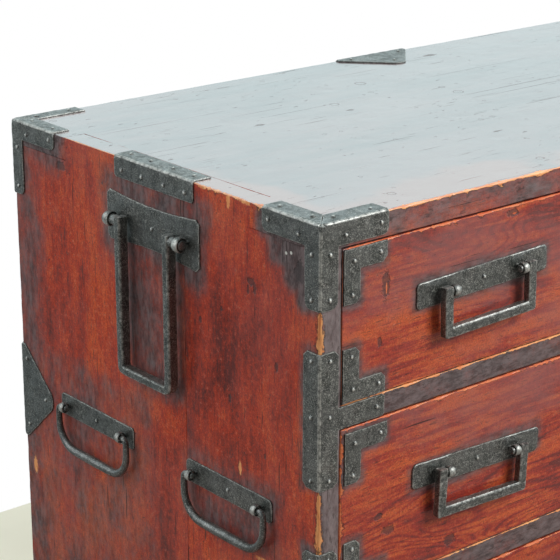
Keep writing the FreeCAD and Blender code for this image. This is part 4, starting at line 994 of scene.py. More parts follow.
class Finish(Nodes):
    """A procedural material. along is the axis that the grain runs along, facing the one that the
    face looks along, and colour what has been painted so far."""

    def __init__(self, name, along=0, facing=1):
        self.material = bpy.data.materials.new(name)
        self.material.use_nodes = True
        super().__init__(self.material.node_tree)
        self.tree.nodes.clear()
        self.shader = self.add("ShaderNodeBsdfPrincipled")
        self.feed(self.add("ShaderNodeOutputMaterial").inputs["Surface"], self.shader.outputs[0])
        self.spot = self.place = self.add("ShaderNodeTexCoord").outputs["Object"]
        self.along, self.facing = along, facing
        self.colour = None

    def plank_spot(self):
        """Object coordinates, shifted for each plank so that no two have the same grain."""
        self.spot = self.vector("ADD", self.spot, self.scaled((1.7, 2.3, 3.1), self.mark("plank")))

    def mark(self, name):
        """A value that the mesh holds at its points."""
        return Value(self, self.add("ShaderNodeAttribute", attribute_name=name).outputs["Fac"])

    def noise(self, scale, detail=4.0, roughness=0.55, distortion=0.0, turned=(0.0, 0.0, 0.0)):
        """Noise with this many waves per metre along X, Y and Z, in axes turned by these degrees."""
        scale = scale if isinstance(scale, tuple) else (scale,) * 3
        place = self.fed(self.add("ShaderNodeMapping"), 0, Vector=self.spot, Scale=scale,
                         Rotation=[math.radians(angle) for angle in turned])
        return Value(self, self.fed(self.add("ShaderNodeTexNoise"), 0, Vector=place, Scale=1.0, Detail=detail,
                                    Roughness=roughness, Distortion=distortion))

    def grain(self, fine, coarse, *shape, **turned):
        """Noise that is fine across the grain and coarse along it."""
        scale = tuple(coarse if axis == self.along else fine for axis in range(3))
        return self.noise(scale, *shape, **turned)

    def scratches(self, rows):
        """Thin broken scratches: the peaks of noises drawn out along the grain. Each row holds the
        waves per metre along and across, how much shows, and the degrees it is turned in the face."""
        masks = []
        for long, short, amount, angle in rows:
            turned = tuple(angle if axis == self.facing else 0.0 for axis in range(3))
            line = self.grain(short, long, 1.0, 0.4, 0.15, turned=turned)
            masks.append(self.level(line, 0.76 - amount, 0.785 - amount))
        return reduce(or_, masks)

    def bowls(self, scale, size, share):
        """Knocks scattered with this many cells per metre, and the dark rims round them. size is a
        knock's radius in cells, and cells whose random value is under share have none."""
        wander = self.fed(self.add("ShaderNodeTexNoise"), "Color", Vector=self.place, Scale=8.0 * scale)
        cells = self.add("ShaderNodeTexVoronoi", feature="F1")
        bent = self.vector("ADD", self.place, self.scaled(wander, 0.06 / scale))
        distance = Value(self, self.fed(cells, "Distance", Vector=bent, Scale=scale))
        chance, width = (Value(self, random) for random in self.fed(
            self.add("ShaderNodeSeparateColor"), slice(0, 2), Color=cells.outputs["Color"]))
        there = self.level(chance, share, share + 0.01)
        away = distance / (width * size + 0.3 * size)
        rim = self.level(away, 0.75, 1.0) * self.level(away, 1.0, 1.35, 1.0, 0.0)
        return self.level(away, 0.4, 1.0, 1.0, 0.0) * there, rim * there

    def blots(self, places, torn=0.35, grain=160.0):
        """1 in ragged ellipsoids, 0 outside them. Each has a centre and a size, in millimetres."""
        masks = []
        for centre, size in places:
            away = self.vector("SUBTRACT", self.place, centre * MM)
            far = self.vector("LENGTH", self.vector("DIVIDE", away, size * MM), result="Value")
            ragged = (self.noise(grain, 3.0, 0.6) - 0.5) * (2.0 * torn)
            masks.append(self.level(Value(self, far) + ragged, 0.62, 1.05, 1.0, 0.0))
        return reduce(or_, masks)

    def paint(self, tone, mask, share=1.0):
        """Lay a tone over the colour where the mask is, as strongly as share."""
        self.colour = self.mix(mask * share, self.colour, tone)

    def bump(self, height, depth, base=None):
        """Bump of this depth in metres, on top of an earlier one."""
        more = {} if base is None else {"Normal": base}
        return self.fed(self.add("ShaderNodeBump"), 0, Strength=1.0, Distance=depth, Height=height, **more)

    def made(self, **values):
        """The material, once its colour and these are set on the shader."""
        self.fed(self.shader, 0, Base_Color=self.colour, **values)
        return self.material


def worn_lacquer(name, along, tones_of, raw, grime_floor=0.0, haze=0.0, wave=0.0, chips=(), knots=(),
                 studs=(), veil=0.0, clear=()):
    """Lacquer over grain that runs along one axis, with patina by "grime" and raw wood by "bare"."""
    tones = bpy.context.scene.chest_colours
    deep, body, bright = tones_of
    f = Finish(name, along, 0 if along == 2 else 1)
    f.plank_spot()
    # Broad clouds, blotches, and streaks of two widths drawn out along the grain.
    blotch = f.grain(60.0, 22.0, 5.0, 0.7)
    lines = f.grain(300.0, 9.0, 5.0, 0.62, 0.2)
    tone = f.grain(11.0, 5.0, 6.0, 0.62, 0.5) + (lines - 0.5) * 0.22
    tone = tone + (blotch - 0.5) * 0.5 + (f.noise(260.0, 4.0, 0.75) - 0.5) * 0.5
    if wave:
        # Grain rings cut at a slant: a smooth value folded back and forth many times over.
        rings = (f.grain(13.0, 2.4, 2.0, 0.45, 0.3) * 90.0).math("PINGPONG", 1.0)
        some = f.level(f.grain(9.0, 3.0, 2.0), 0.35, 0.6)
        tone = tone + (f.level(rings, 0.0, 0.6) - 0.8) * some * wave
        ripple = f.level(f.grain(150.0, 12.0, 3.0, 0.6, 0.9), 0.4, 0.6, -0.11, 0.11)
        tone = tone + ripple * f.level(f.noise(9.0, 3.0), 0.4, 0.6, 0.35, 1.0)
    grit = f.level(f.noise(700.0, 3.0, 0.8), 0.35, 0.65, 0.72, 1.24)
    f.colour = f.mix(1.0, f.ramp(tone, (0.26, deep), (0.45, body), (0.68, bright)), grit, "MULTIPLY")
    # Dark pores along the grain, small specks, and dust in the pits.
    pores = f.level(f.grain(800.0, 70.0, 2.0, 0.6), 0.59, 0.7)
    specks = f.level(f.grain(420.0, 300.0, 3.0, 0.65), 0.61, 0.68)
    f.paint(tones.dark, pores, 0.6)
    f.paint(tones.dark, specks * f.level(f.noise(24.0, 3.0), 0.4, 0.6), 0.9)
    f.paint(tones.dust, f.level(f.noise(260.0, 5.0, 0.8), 0.57, 0.68), 0.3)
    # A pale film in clouds: bloom on the lacquer, and in part a painted sheen standing for the room's reflection.
    if haze:
        film = f.level(f.grain(12.0, 7.0, 6.0, 0.65), 0.36, 0.66)
        if clear:
            film = film * f.level(f.blots(clear, 0.8, 14.0), 0.0, 1.0, 1.0, 0.1)
        f.paint(tones.haze, film, haze)
    # Patina, thick where the irons are and thin in clouds elsewhere.
    ragged = (f.grain(30.0, 24.0, 7.0, 0.72) - 0.5) * 1.7
    dirt = f.level(f.mark("grime") + grime_floor + ragged, 0.05, 1.0)
    mottle = f.level(f.grain(170.0, 60.0, 6.0, 0.75), 0.36, 0.64)
    f.paint(f.mix(mottle, tones.patina, tones.patina_pale), dirt, 0.95)
    if veil:
        f.paint(tones.veil, f.level(f.grain(90.0, 30.0, 6.0, 0.75), 0.3, 0.66), veil)
        f.paint(tones.dark, f.level(f.grain(150.0, 60.0, 5.0, 0.7), 0.56, 0.64), 0.6)
    scratch = f.scratches(LACQUER_SCRATCHES)
    f.paint(tones.dark, scratch, 0.75)
    if knots:
        hollow = f.blots(knots, 0.75, 260.0)
        f.paint(tones.patina, hollow, 0.62)
    if studs:
        f.paint(tones.iron_pale, f.blots(studs, 0.1, 330.0))
    # Raw wood, with a dark line where the lacquer breaks off.
    worn = f.mark("bare") + (f.grain(420.0, 150.0, 6.0, 0.75) - 0.5) * 1.5
    f.paint(tones.dark, f.level(worn, 0.14, 0.28), 0.6)
    bare = f.level(worn, 0.32, 0.4)
    if chips:
        bare = bare | f.blots(chips, 0.6, 420.0)
    wood = f.ramp(f.grain(420.0, 40.0, 4.0, 0.7), (0.34, raw[0]), (0.62, raw[1]))
    soot = f.level(f.grain(300.0, 120.0, 5.0, 0.75), 0.56, 0.66)
    f.paint(f.mix(soot * 0.7, wood, tones.dark), bare)
    rough = f.level(f.noise(50.0, 5.0, 0.6), 0.3, 0.7, 0.3, 0.5) + (bare | dirt) * 0.22
    relief = lines * 0.7 - (pores + specks) * 0.5 + blotch * 0.8 - scratch * 0.8 - bare * 1.4
    if knots:
        relief = relief - hollow * 4.0
    normal = f.bump(relief, 0.16 * MM, f.bump(f.grain(60.0, 30.0, 3.0), 0.5 * MM))
    return f.made(Roughness=rough.clipped(), Normal=normal, IOR=1.5, Coat_Weight=0.35, Coat_Roughness=0.14,
                  Coat_IOR=1.5, Specular_IOR_Level=0.3)


def top_lacquer(name):
    """The top: rubbed hazy, streaked and scratched along its length, and paler and greyer than the sides:
    faded lacquer, and in part a painted reflection of the bright room.
    """
    tones = bpy.context.scene.chest_colours
    f = Finish(name, 0, 2)
    f.plank_spot()
    lines = f.grain(130.0, 5.0, 5.0, 0.6)
    tone = f.grain(9.0, 3.0, 5.0, 0.62, 0.8) + (lines - 0.5) * 0.5
    # Faded lacquer, made paler and greyer than the sides' in part as a painted reflection of the bright room.
    f.colour = f.ramp(tone, (0.3, tones.top_deep), (0.62, tones.top_body))
    f.paint(tones.pink, f.blots(TOP_THIN, 0.9, 14.0))
    scratch = f.scratches(TOP_SCRATCHES) * f.level(f.noise(7.0, 3.0), 0.42, 0.56, 0.12, 1.0)
    dots = f.level(f.grain(260.0, 90.0, 1.0, 0.5), 0.71, 0.75) * 0.9 * f.level(f.noise(17.0, 2.0), 0.4, 0.6)
    knocks, rims = f.bowls(26.0, 0.1, 0.62)
    small, small_rims = f.bowls(60.0, 0.12, 0.66)
    marks = scratch | dots | rims * 0.7 | small_rims * 0.7 | f.blots(TOP_KNOTS, 0.7, 300.0) * 0.8
    f.paint(tones.groove, marks, 0.9)
    dirt = f.level(f.mark("grime") + (f.noise(30.0, 7.0, 0.68) - 0.5) * 1.5, 0.35, 1.2)
    f.paint(tones.patina, dirt, 0.8)
    bare = f.level(f.mark("bare") + (f.noise(420.0, 4.0, 0.65) - 0.5) * 1.3, 0.32, 0.4)
    f.paint(f.ramp(f.grain(500.0, 60.0, 3.0), (0.35, tones.raw), (0.62, tones.raw_pale)), bare)
    dull = marks * 0.75 | dirt * 0.5 | bare
    rough = f.level(f.noise(40.0, 5.0, 0.6), 0.25, 0.75, 0.15, 0.27) + dull * 0.4
    relief = lines * 0.3 - marks * 1.4 - (knocks | small) * 3.0
    normal = f.bump(relief, 0.14 * MM, f.bump(f.grain(24.0, 12.0, 3.0), 0.4 * MM))
    coat = f.level(dull, 0.0, 1.0, 1.0, 0.12)
    return f.made(Roughness=rough.clipped(), Normal=normal, IOR=2.1, Coat_Weight=coat, Coat_Roughness=0.16,
                  Coat_IOR=4.0, Specular_IOR_Level=0.5)


def inner_wood(name, along):
    """Unlacquered softwood that has gone brown: straight grain with darker late wood in fine lines."""
    tones = bpy.context.scene.chest_colours
    f = Finish(name, along)
    rings = f.level((f.grain(16.0, 1.1, 3.0, 0.5, 0.3) * 46.0).math("PINGPONG", 1.0), 0.15, 0.95)
    lines = f.grain(420.0, 7.0, 5.0, 0.7)
    tone = rings * 0.18 + lines * 0.6 + (f.grain(9.0, 2.5, 5.0, 0.6) - 0.5) * 0.5
    f.colour = f.ramp(tone, (0.2, tones.inner_deep), (0.62, tones.inner))
    f.paint(tones.inner_deep, f.level(f.grain(900.0, 40.0, 2.0, 0.6), 0.6, 0.72), 0.5)
    f.paint(tones.veil, f.level(f.noise(5.0, 5.0, 0.65), 0.45, 0.75), 0.3)
    return f.made(Roughness=0.72, Normal=f.bump(lines + rings * 0.3, 0.2 * MM), Specular_IOR_Level=0.35)


def black_iron(name, bright=0.0):
    """Oil-blackened wrought iron: pitted, speckled with bright grains, rusty in places, and pale where the
    mesh marks it: rubbed on worn edges, and a painted highlight on nail heads and the eyes of split
    pins. The bright argument adds to that pale share and gloss, for the nails."""
    tones = bpy.context.scene.chest_colours
    f = Finish(name)
    f.colour = f.mix(f.level(f.noise(60.0, 6.0, 0.7), 0.36, 0.66), tones.iron_deep, tones.iron)
    f.paint(tones.rust, f.level(f.noise(34.0, 6.0, 0.7), 0.56, 0.72), 0.7)
    fine = f.noise(980.0, 3.0, 0.85)
    f.paint(tones.iron_deep, f.level(fine, 0.42, 0.58, 0.75, 0.0))
    grains = f.level(fine, 0.53, 0.62) | f.level(f.noise(460.0, 5.0, 0.85), 0.55, 0.63)
    f.paint(tones.iron_pale, grains * f.level(f.noise(34.0, 5.0, 0.65), 0.36, 0.58, 0.55, 1.0), 0.62)
    f.paint(tones.iron_deep, f.level(f.noise(700.0, 4.0, 0.8), 0.52, 0.6), 0.8)
    # Pale where the mesh marks it: worn edges of plates and bars, and painted highlights on nail heads and on the
    # eyes of split pins.
    rub = f.level(f.mark("rub") + (f.noise(300.0, 4.0, 0.65) - 0.5) * 1.5, 0.6, 1.15)
    f.paint(tones.iron_pale, rub, 0.7 + bright)
    rough = f.level(f.noise(160.0, 4.0, 0.6), 0.3, 0.7, 0.42, 0.64) - rub * (0.14 + 0.14 * bright)
    normal = f.bump(fine * 0.5 + f.noise(150.0, 5.0, 0.65) * 1.8, 0.32 * MM)
    # Oil left in patches: they take the sheen, and the rest stays black.
    oiled = f.level(f.noise(85.0, 6.0, 0.72), 0.4, 0.58, 0.4, 1.0)
    return f.made(Roughness=rough.clipped(), Normal=normal, Metallic=0.4, IOR=1.6, Coat_Weight=oiled,
                  Coat_Roughness=0.36, Coat_IOR=2.0)


def finish(name):
    """A finish by name, made when it is first asked for."""
    if name in FINISHES:
        return FINISHES[name]
    tones = bpy.context.scene.chest_colours
    side = (tones.side_deep, tones.side_body, tones.side_bright)
    front = (tones.front_deep, tones.front_body, tones.front_bright)
    raw, stained = (tones.raw, tones.raw_pale), (tones.raw_red, tones.raw_salmon)
    made = {
        "side_lacquer": lambda: worn_lacquer(name, 2, side, raw, haze=0.25, chips=SIDE_CHIPS,
                                             knots=SIDE_KNOTS, studs=SIDE_STUDS),
        "post_lacquer": lambda: worn_lacquer(name, 2, side, raw, grime_floor=0.6, veil=0.45),
        "end_lacquer": lambda: worn_lacquer(name, 0, side, raw, grime_floor=0.3),
        "edge_lacquer": lambda: worn_lacquer(name, 0, side, raw, grime_floor=0.62, veil=0.2),
        "rail_lacquer": lambda: worn_lacquer(name, 0, side, raw, grime_floor=0.95, veil=0.1),
        "front_lacquer": lambda: worn_lacquer(name, 0, front, stained, haze=0.6, wave=0.16, chips=FRONT_CHIPS,
                                              knots=FRONT_KNOTS, clear=FRONT_CLEAR),
        "top_lacquer": lambda: top_lacquer(name),
        "inner_wood_x": lambda: inner_wood(name, 0),
        "inner_wood_y": lambda: inner_wood(name, 1),
        "black_iron": lambda: black_iron(name),
        # Nails: black iron with a stronger painted highlight on their heads.
        "nail_iron": lambda: black_iron(name, 0.25),
    }
    FINISHES[name] = made[name]()
    FINISHES[name].name = "chest_" + name
    return FINISHES[name]


# Scratches in rows: waves per metre along and across, how much shows, and degrees turned.
LACQUER_SCRATCHES = (
    (17.0, 330.0, 0.012, 28.0), (24.0, 420.0, 0.01, 64.0),
    (14.0, 360.0, 0.014, 117.0), (9.0, 500.0, 0.02, 4.0))
TOP_SCRATCHES = (
    (2.4, 420.0, 0.012, -3.0), (5.0, 520.0, 0.004, 6.0), (9.0, 420.0, 0.0, -14.0),
    (14.0, 460.0, 0.004, 27.0), (18.0, 480.0, 0.004, -41.0), (22.0, 460.0, 0.002, 73.0))


def marks_on(axis, at, deep, rows):
    """Places for blots on a face that crosses an axis. Each row holds two coordinates in the face and
    the blot's size along both. All are in millimetres."""
    return [(np.insert([a, b], axis, at), np.insert([wide, high], axis, deep))
            for a, b, wide, high in np.array(rows, float)]


SIDE_CHIPS = marks_on(0, -410, 3, (
    (-95.6, 489, 2.6, 9), (-121, 491, 17, 2.6), (-64, 491, 6, 2), (-107.8, 275.8, 2.4, 6),
    (-111, 211.4, 2, 4), (-134.3, 207.7, 9, 2.2), (187, 176, 3.4, 9)))
SIDE_STUDS = marks_on(0, -410, 3, ((-162.3, 463.1, 1.5, 1.5), (-167.8, 464.5, 1.5, 1.5)))
SIDE_KNOTS = marks_on(0, -410, 3, (
    (-122.2, 430.5, 5.2, 3.4), (-126, 426, 2, 5), (-119, 424.5, 1.6, 4.6), (-86, 400, 1.6, 2.6),
    (-60, 384, 2.2, 3), (-138, 296, 1.8, 2.6), (-96, 330, 1.4, 5), (40, 338, 1.8, 12), (-152, 372, 2.2, 5),
    (-178, 452, 7, 9), (128, 466, 8, 4)))
TOP_THIN = marks_on(2, 492, 20, ((-300, -190, 150, 46), (-60, -190, 120, 34), (-395, -110, 30, 80)))
TOP_KNOTS = marks_on(2, 492, 3, (
    (-260, 51, 7, 3), (46.8, 162.8, 9, 4), (-166, 42.5, 5, 2.4), (-120, -90, 6, 2), (210, 60, 8, 3)))
FRONT_CLEAR = marks_on(1, -200, 30, ((-180, 236, 420, 64),))
FRONT_CHIPS = marks_on(1, -200, 3, ((-346, 432.6, 0.9, 5.6), (-213.6, 464, 2.8, 0.8), (-318, 352.6, 26, 1.6)))
FRONT_KNOTS = marks_on(1, -200, 3, (
    (-346.8, 435.1, 4.4, 13), (-215.6, 464.5, 8, 3.4), (-350.2, 250.2, 5, 3), (-339.5, 236, 8, 4),
    (-273.2, 206.3, 7, 5), (-352, 392, 2.4, 4), (150, 300, 8, 5), (60, 90, 7, 5)))


# ---- pieces ----


def rail_heights():
    """Underside and top of the lower and the upper rail."""
    return [tuple(corner[2] for corner in corners_of(word + "_rail")) for word in ("lower", "upper")]


def side_dirt():
    """Patina on the left side: round each iron and plate, strongest under the front corner iron."""
    irons = bpy.context.scene.chest_irons
    arm, width = irons.corner_arm, irons.front_width
    rows = [
        (FRONT, HEIGHT - arm, FRONT + width, HEIGHT, 12, 0.7),
        (FRONT, HEIGHT - width, FRONT + arm, HEIGHT, 14, 0.8),
        (FRONT + width, HEIGHT - 34 * MM, FRONT + 52 * MM, HEIGHT - width, 16, 1.0),
        (FRONT + width, HEIGHT - 48 * MM, FRONT + 34 * MM, HEIGHT - width, 16, 1.0),
        (FRONT + width, HEIGHT - 62 * MM, FRONT + 20 * MM, HEIGHT - width, 14, 0.9),
        (REAR - 16 * MM, 0.0, REAR, HEIGHT, 40, 0.66),
        (REAR - 150 * MM, 0.0, REAR, 240 * MM, 90, 0.5),
        (REAR - arm, HEIGHT - 20 * MM, REAR, HEIGHT, 30, 0.7),
        (-62 * MM, HEIGHT - 74 * MM, 60 * MM, HEIGHT - 20 * MM, 26, 0.75),
        (-28 * MM, HEIGHT - 180 * MM, 34 * MM, HEIGHT - 60 * MM, 26, 0.66),
        (FRONT, 0.0, REAR, 10 * MM, 40, 0.5),
        (20 * MM, HEIGHT - 215 * MM, 150 * MM, HEIGHT - 205 * MM, 30, 0.5),
    ]
    for joint in ("left_front_lifting_bail_swing", "left_rear_lifting_bail_swing"):
        _, y, z = JOINTS[joint]["pos_m"]
        rows.append((y - 54 * MM, z - 34 * MM, y + 54 * MM, z + 12 * MM, 20, 0.55))
    for low, high in rail_heights():
        middle, half = (low + high) / 2.0, irons.post_height / 2.0
        rows.append((FRONT, middle - half, FRONT + 17 * MM, middle + half, 12, 0.7))
    post = (-HALF_WIDTH + 6 * MM, 0.0, -INSIDE, HEIGHT, 4, 0.95)
    return dirt_on(0, -HALF_WIDTH, rows) + dirt_on(1, FRONT, [post])


def side_notches():
    """What is cut from a left side board: the corners where the fingers of the top and bottom go,
    and the grooves for the rails and shelves."""
    notches = []
    for a, b in ((FRONT - BOARD, FRONT + FINGER), (REAR - FINGER, REAR + BOARD)):
        notches += [((-1.0, a, TOP_UNDER), (1.0, b, 1.0)), ((-1.0, a, -1.0), (1.0, b, BOARD))]
    behind = corners_of("upper_rail")[1][1]
    for low, high in rail_heights():
        notches.append(((-INSIDE - 5 * MM, FRONT - BOARD, low), (-INSIDE + BOARD, behind, high)))
    for points in solids_of("shelf_boards"):
        low, high = points.min(axis=0), points.max(axis=0)
        notches.append((tuple(low), (-INSIDE + BOARD, high[1], high[2])))
    return notches


def add_board(node, slot, coat, *shape, **wear):
    """Put the worn board that stands for a node into the scene."""
    return add_piece(node + "_worn", board_skin(node, *shape, **wear), [node], finish(coat))


class CHEST_OT_case_boards(bpy.types.Operator):
    """Make the boards of the case"""
    bl_idname = "chest.case_boards"
    bl_label = "Case boards"

    def execute(self, context):
        wear = context.scene.chest_wear
        step = wear.spacing
        side_rubs = [
            Rub(2, (-HALF_WIDTH, FRONT), 0.0, HEIGHT, 0.9),
            Rub(2, (-HALF_WIDTH, FRONT), HEIGHT - 97 * MM, HEIGHT - 65 * MM, 4.6, 2, 0.85),
            Rub(2, (-HALF_WIDTH, FRONT), HEIGHT - 262 * MM, HEIGHT - 206 * MM, 4.6, 2, 0.75),
            Rub(1, (-HALF_WIDTH, HEIGHT), FRONT + 80 * MM, FRONT + 150 * MM, 2.6),
            Rub(1, (-HALF_WIDTH, HEIGHT), REAR - 200 * MM, REAR, 0.9),
            Rub(2, (-HALF_WIDTH, REAR), 0.0, HEIGHT, 1.0),
        ]
        dents = {LEFT: [(-HALF_WIDTH, FRONT + 66 * MM, HEIGHT - 66 * MM, 9 * MM, 0.9 * MM)], RIGHT: ()}
        dirt = side_dirt()
        for side, word in ((LEFT, "left"), (RIGHT, "right")):
            for plank, part in enumerate(("front", "rear")):
                seed = 11 + 10 * plank + (40 if side == RIGHT else 0)
                skin = board_skin("left_side_%s_board" % part, seed, (7 * MM, step, step), side_notches(),
                                  side_rubs, dirt, dents[side], knocks=26, plank=plank + side)
                if side == RIGHT:
                    skin = skin.moved(MIRROR_X)
                name = "%s_side_%s_board" % (word, part)
                piece = add_piece(name + "_worn", skin, [name], finish("side_lacquer"))
                finish_faces(piece, "top_lacquer",
                             lambda spot, facing: (spot[:, 2] > HEIGHT - MM) & (facing[:, 2] > 0.55))
                finish_faces(piece, "post_lacquer",
                             lambda spot, facing: (spot[:, 1] < FRONT + MM) & (facing[:, 1] < -0.8))

        notches = [((-1.0, FRONT + FINGER, -1.0), (-INSIDE, REAR - FINGER, 1.0)),
                   ((INSIDE, FRONT + FINGER, -1.0), (1.0, REAR - FINGER, 1.0))]
        rubs = [Rub(0, (FRONT, HEIGHT), -HALF_WIDTH, HALF_WIDTH, 2.1),
                Rub(0, (FRONT, HEIGHT), -HALF_WIDTH + 52 * MM, -HALF_WIDTH + 240 * MM, 3.4, 12, 0.5),
                Rub(1, (-HALF_WIDTH, HEIGHT), FRONT, FRONT + FINGER, 2.6),
                Rub(1, (HALF_WIDTH, HEIGHT), FRONT, FRONT + FINGER, 1.8),
                Rub(0, (REAR, HEIGHT), -HALF_WIDTH, HALF_WIDTH, 1.2)]
        dirt += [patch.mirrored() for patch in dirt]
        top = add_board("top_board", "top_lacquer", "top_lacquer", 71, (4.5 * MM, 4 * MM, 7 * MM), notches,
                        rubs, dirt, knocks=60, plank=3.0)
        finish_faces(top, "end_lacquer", lambda spot, facing: facing[:, 2] < 0.55)
        finish_faces(top, "edge_lacquer",
                     lambda spot, facing: (facing[:, 2] < 0.55) & (np.abs(facing[:, 1]) > 0.6))

        add_board("bottom_board", "case_lacquer", "end_lacquer", 83, (9 * MM, 9 * MM, 7 * MM), notches,
                  knocks=20, plank=4.0)
        add_board("back_board", "bare_wood", "inner_wood_x", 97, (6 * MM, 4 * MM, 6 * MM), knocks=30,
                  plank=5.0, arris=wear.joint_arris)
        for number, node in enumerate(("lower_rail", "upper_rail")):
            low, high = corners_of(node)
            rubs = [Rub(0, (FRONT, high[2]), -INSIDE, INSIDE, 1.5 + 0.9 * number),
                    Rub(0, (FRONT, low[2]), -INSIDE, INSIDE, 0.7)]
            add_board(node, "rail_lacquer", "rail_lacquer", 101 + number, (3 * MM, 9 * MM, 4 * MM), rubs=rubs,
                      knocks=20, plank=6.0 + number)
        dress("shelf_boards", "inner_wood_x")
        return {"FINISHED"}


def forge(node, skins, crease=38.0):
    """Put iron skins into the scene as the one piece that stands for a node."""
    add_piece(node + "_forged", joined(skins), [node], finish("black_iron"), crease)


def finish_faces(piece, name, chosen):
    """A second finish on the faces that chosen picks by their middles and normals."""
    mesh = piece.data
    mesh.materials.append(finish(name))
    middles = np.empty(len(mesh.polygons) * 3, np.float32)
    normals = np.empty_like(middles)
    mesh.polygons.foreach_get("center", middles)
    mesh.polygons.foreach_get("normal", normals)
    worn = np.empty(len(mesh.polygons), np.int32)
    mesh.polygons.foreach_get("material_index", worn)
    picked = chosen(middles.reshape(-1, 3), normals.reshape(-1, 3))
    worn[picked] = len(mesh.materials) - 1
    mesh.polygons.foreach_set("material_index", worn)


def dress(node, name):
    """Give a node that keeps its own mesh a finish, and soften its arrises."""
    thing = frame["nodes"][node]
    thing.data.materials.clear()
    thing.data.materials.append(finish(name))
    weld = thing.modifiers.new("weld", "WELD")
    weld.merge_threshold = 0.01 * MM
    bevel = thing.modifiers.new("arris", "BEVEL")
    bevel.width = 0.5 * MM
    bevel.segments = 2
    bevel.limit_method = "ANGLE"
    bevel.angle_limit = math.radians(40.0)
    bevel.harden_normals = True


class CHEST_OT_drawers(bpy.types.Operator):
    """Make the drawer fronts and finish the drawer boxes"""
    bl_idname = "chest.drawers"
    bl_label = "Drawers"

    def execute(self, context):
        wear, irons = context.scene.chest_wear, context.scene.chest_irons
        leg, width = irons.angle_leg, irons.angle_width
        insets = {"upper": 0.6 * MM, "middle": 3.6 * MM, "lower": 2.0 * MM}
        dents = {"upper": [(-HALF_WIDTH + 78 * MM, FRONT, 424 * MM, 5 * MM, 1.0 * MM)],
                 "middle": [(-HALF_WIDTH + 74 * MM, FRONT, 216 * MM, 7 * MM, 0.5 * MM)]}
        for number, word in enumerate(DRAWERS):
            node = word + "_drawer_front"
            low, high = (corner[2] for corner in corners_of(node))
            lap = FRONT + 9 * MM
            side = corners_of(word + "_drawer_sides")[1][0]
            inner = side - 11 * MM
            bed = corners_of(word + "_drawer_bottom")[1][2]
            notches = [((-1.0, lap, -1.0), (-inner, 1.0, 1.0)), ((inner, lap, -1.0), (1.0, 1.0, 1.0)),
                       ((-1.0, lap, -1.0), (1.0, 1.0, bed))]
            rubs = [Rub(0, (FRONT, high), -side, side, 2.7), Rub(0, (FRONT, low), -side, side, 1.7),
                    Rub(2, (-side, FRONT), low, high, 3.7 if word == "middle" else 0.4),
                    Rub(2, (side, FRONT), low, high, 1.2)]
            inset = insets[word]
            edge = side - inset
            rows = []
            for way, hand in ((LEFT, "left"), (RIGHT, "right")):
                for z, toward in ((high - inset, -1.0), (low + inset, 1.0)):
                    rows += [(way * edge, z, way * (edge - across), z + toward * along, 10, 0.75)
                             for across, along in ((leg, width), (width, leg))]
                x, _, z = JOINTS["%s_drawer_%s_bail_swing" % (word, hand)]["pos_m"]
                rows.append((x - 70 * MM, z - 10 * MM, x + 70 * MM, z + 10 * MM, 11, 0.7))
            add_board(node, "drawer_lacquer", "front_lacquer", 131 + 10 * number,
                      (wear.spacing, 6 * MM, 2.8 * MM), notches, rubs, dirt_on(1, FRONT, rows),
                      dents.get(word, ()), knocks=34, plank=8.0 + number)
            for part, along in (("sides", "y"), ("back", "x"), ("bottom", "x")):
                dress("%s_drawer_%s" % (word, part), "inner_wood_" + along)
        return {"FINISHED"}


class CHEST_OT_case_irons(bpy.types.Operator):
    """Make the irons of the case"""
    bl_idname = "chest.case_irons"
    bl_label = "Case irons"

    def execute(self, context):
        irons = context.scene.chest_irons

        def both_sides(node, skins):
            """Forge skins made for the left side, and the same for the right."""
            forge(node, skins + [skin.moved(MIRROR_X) for skin in skins])

        at_front, at_rear = (irons.front_width, irons.front_leg), (irons.rear_width, irons.rear_leg)
        both_sides("front_top_corner_irons", [corner_iron(*at_front, 201, True)])
        both_sides("rear_top_corner_irons", [corner_iron(*at_rear, 203, True).moved(MIRROR_Y)])
        lift = (0.0, 0.0, HEIGHT)
        both_sides("bottom_corner_irons", [
            corner_iron(*at_front, 205, False).moved(MIRROR_Z, lift),
            corner_iron(*at_rear, 207, False).moved(MIRROR_Z @ MIRROR_Y, lift)])
        lower, upper = rail_heights()
        both_sides("upper_post_irons", [post_iron(*upper, 209)])
        both_sides("lower_post_irons", [post_iron(*lower, 211)])

        low, high = corners_of("side_straps")
        y0, y1, width, clip = low[1], high[1], irons.strap_width, irons.clip / 2.0
        outline = trace([(y0, -width), (y1, -width), (y1, width - clip), (y1 - clip, width),
                         (y0 + clip, width), (y0, width - clip)])
        both_sides("side_straps", [plate_skin(outline, on_left_top_edge, 213, ((1, 0.0),))])

        middle = sum(corners_of("rear_edge_plates"))[2] / 2.0
        leaf = leaf_outline()
        outline = trace([(u, v + middle, *rest) for u, v, *rest in leaf])
        both_sides("rear_edge_plates", [plate_skin(outline, on_rear_left_post, 215, ((0, 0.0),))])
        outline = trace([(v, u, *rest) for u, v, *rest in leaf])
        forge("rear_top_plate", [plate_skin(outline, on_rear_top_edge, 217, ((1, 0.0),))])
        return {"FINISHED"}


class CHEST_OT_drawer_irons(bpy.types.Operator):
    """Make the corner irons of the drawers"""
    bl_idname = "chest.drawer_irons"
    bl_label = "Drawer irons"

    def execute(self, context):
        irons = context.scene.chest_irons
        leg, width, clip = irons.angle_leg, irons.angle_width, irons.clip
        for number, word in enumerate(DRAWERS):
            node = word + "_drawer_corner_irons"
            low, high = corners_of(node)
            x = low[0]
            skins = []
            for k, (edge, way) in enumerate(((high[2], -1.0), (low[2], 1.0))):
                flat = [(0.0, 0.0), (leg, 0.0), (leg, width - clip), (leg - clip, width),
                        (width, width, 1 * MM), (width, leg - clip), (width - clip, leg), (0.0, leg)]
                for side in (LEFT, RIGHT):
                    outline = trace([(-side * (x + p[0]), edge + way * p[1], *p[2:]) for p in flat])
                    skins.append(plate_skin(outline, on_front, 231 + 10 * number + 2 * k + (side > 0)))
            forge(node, skins)
        return {"FINISHED"}


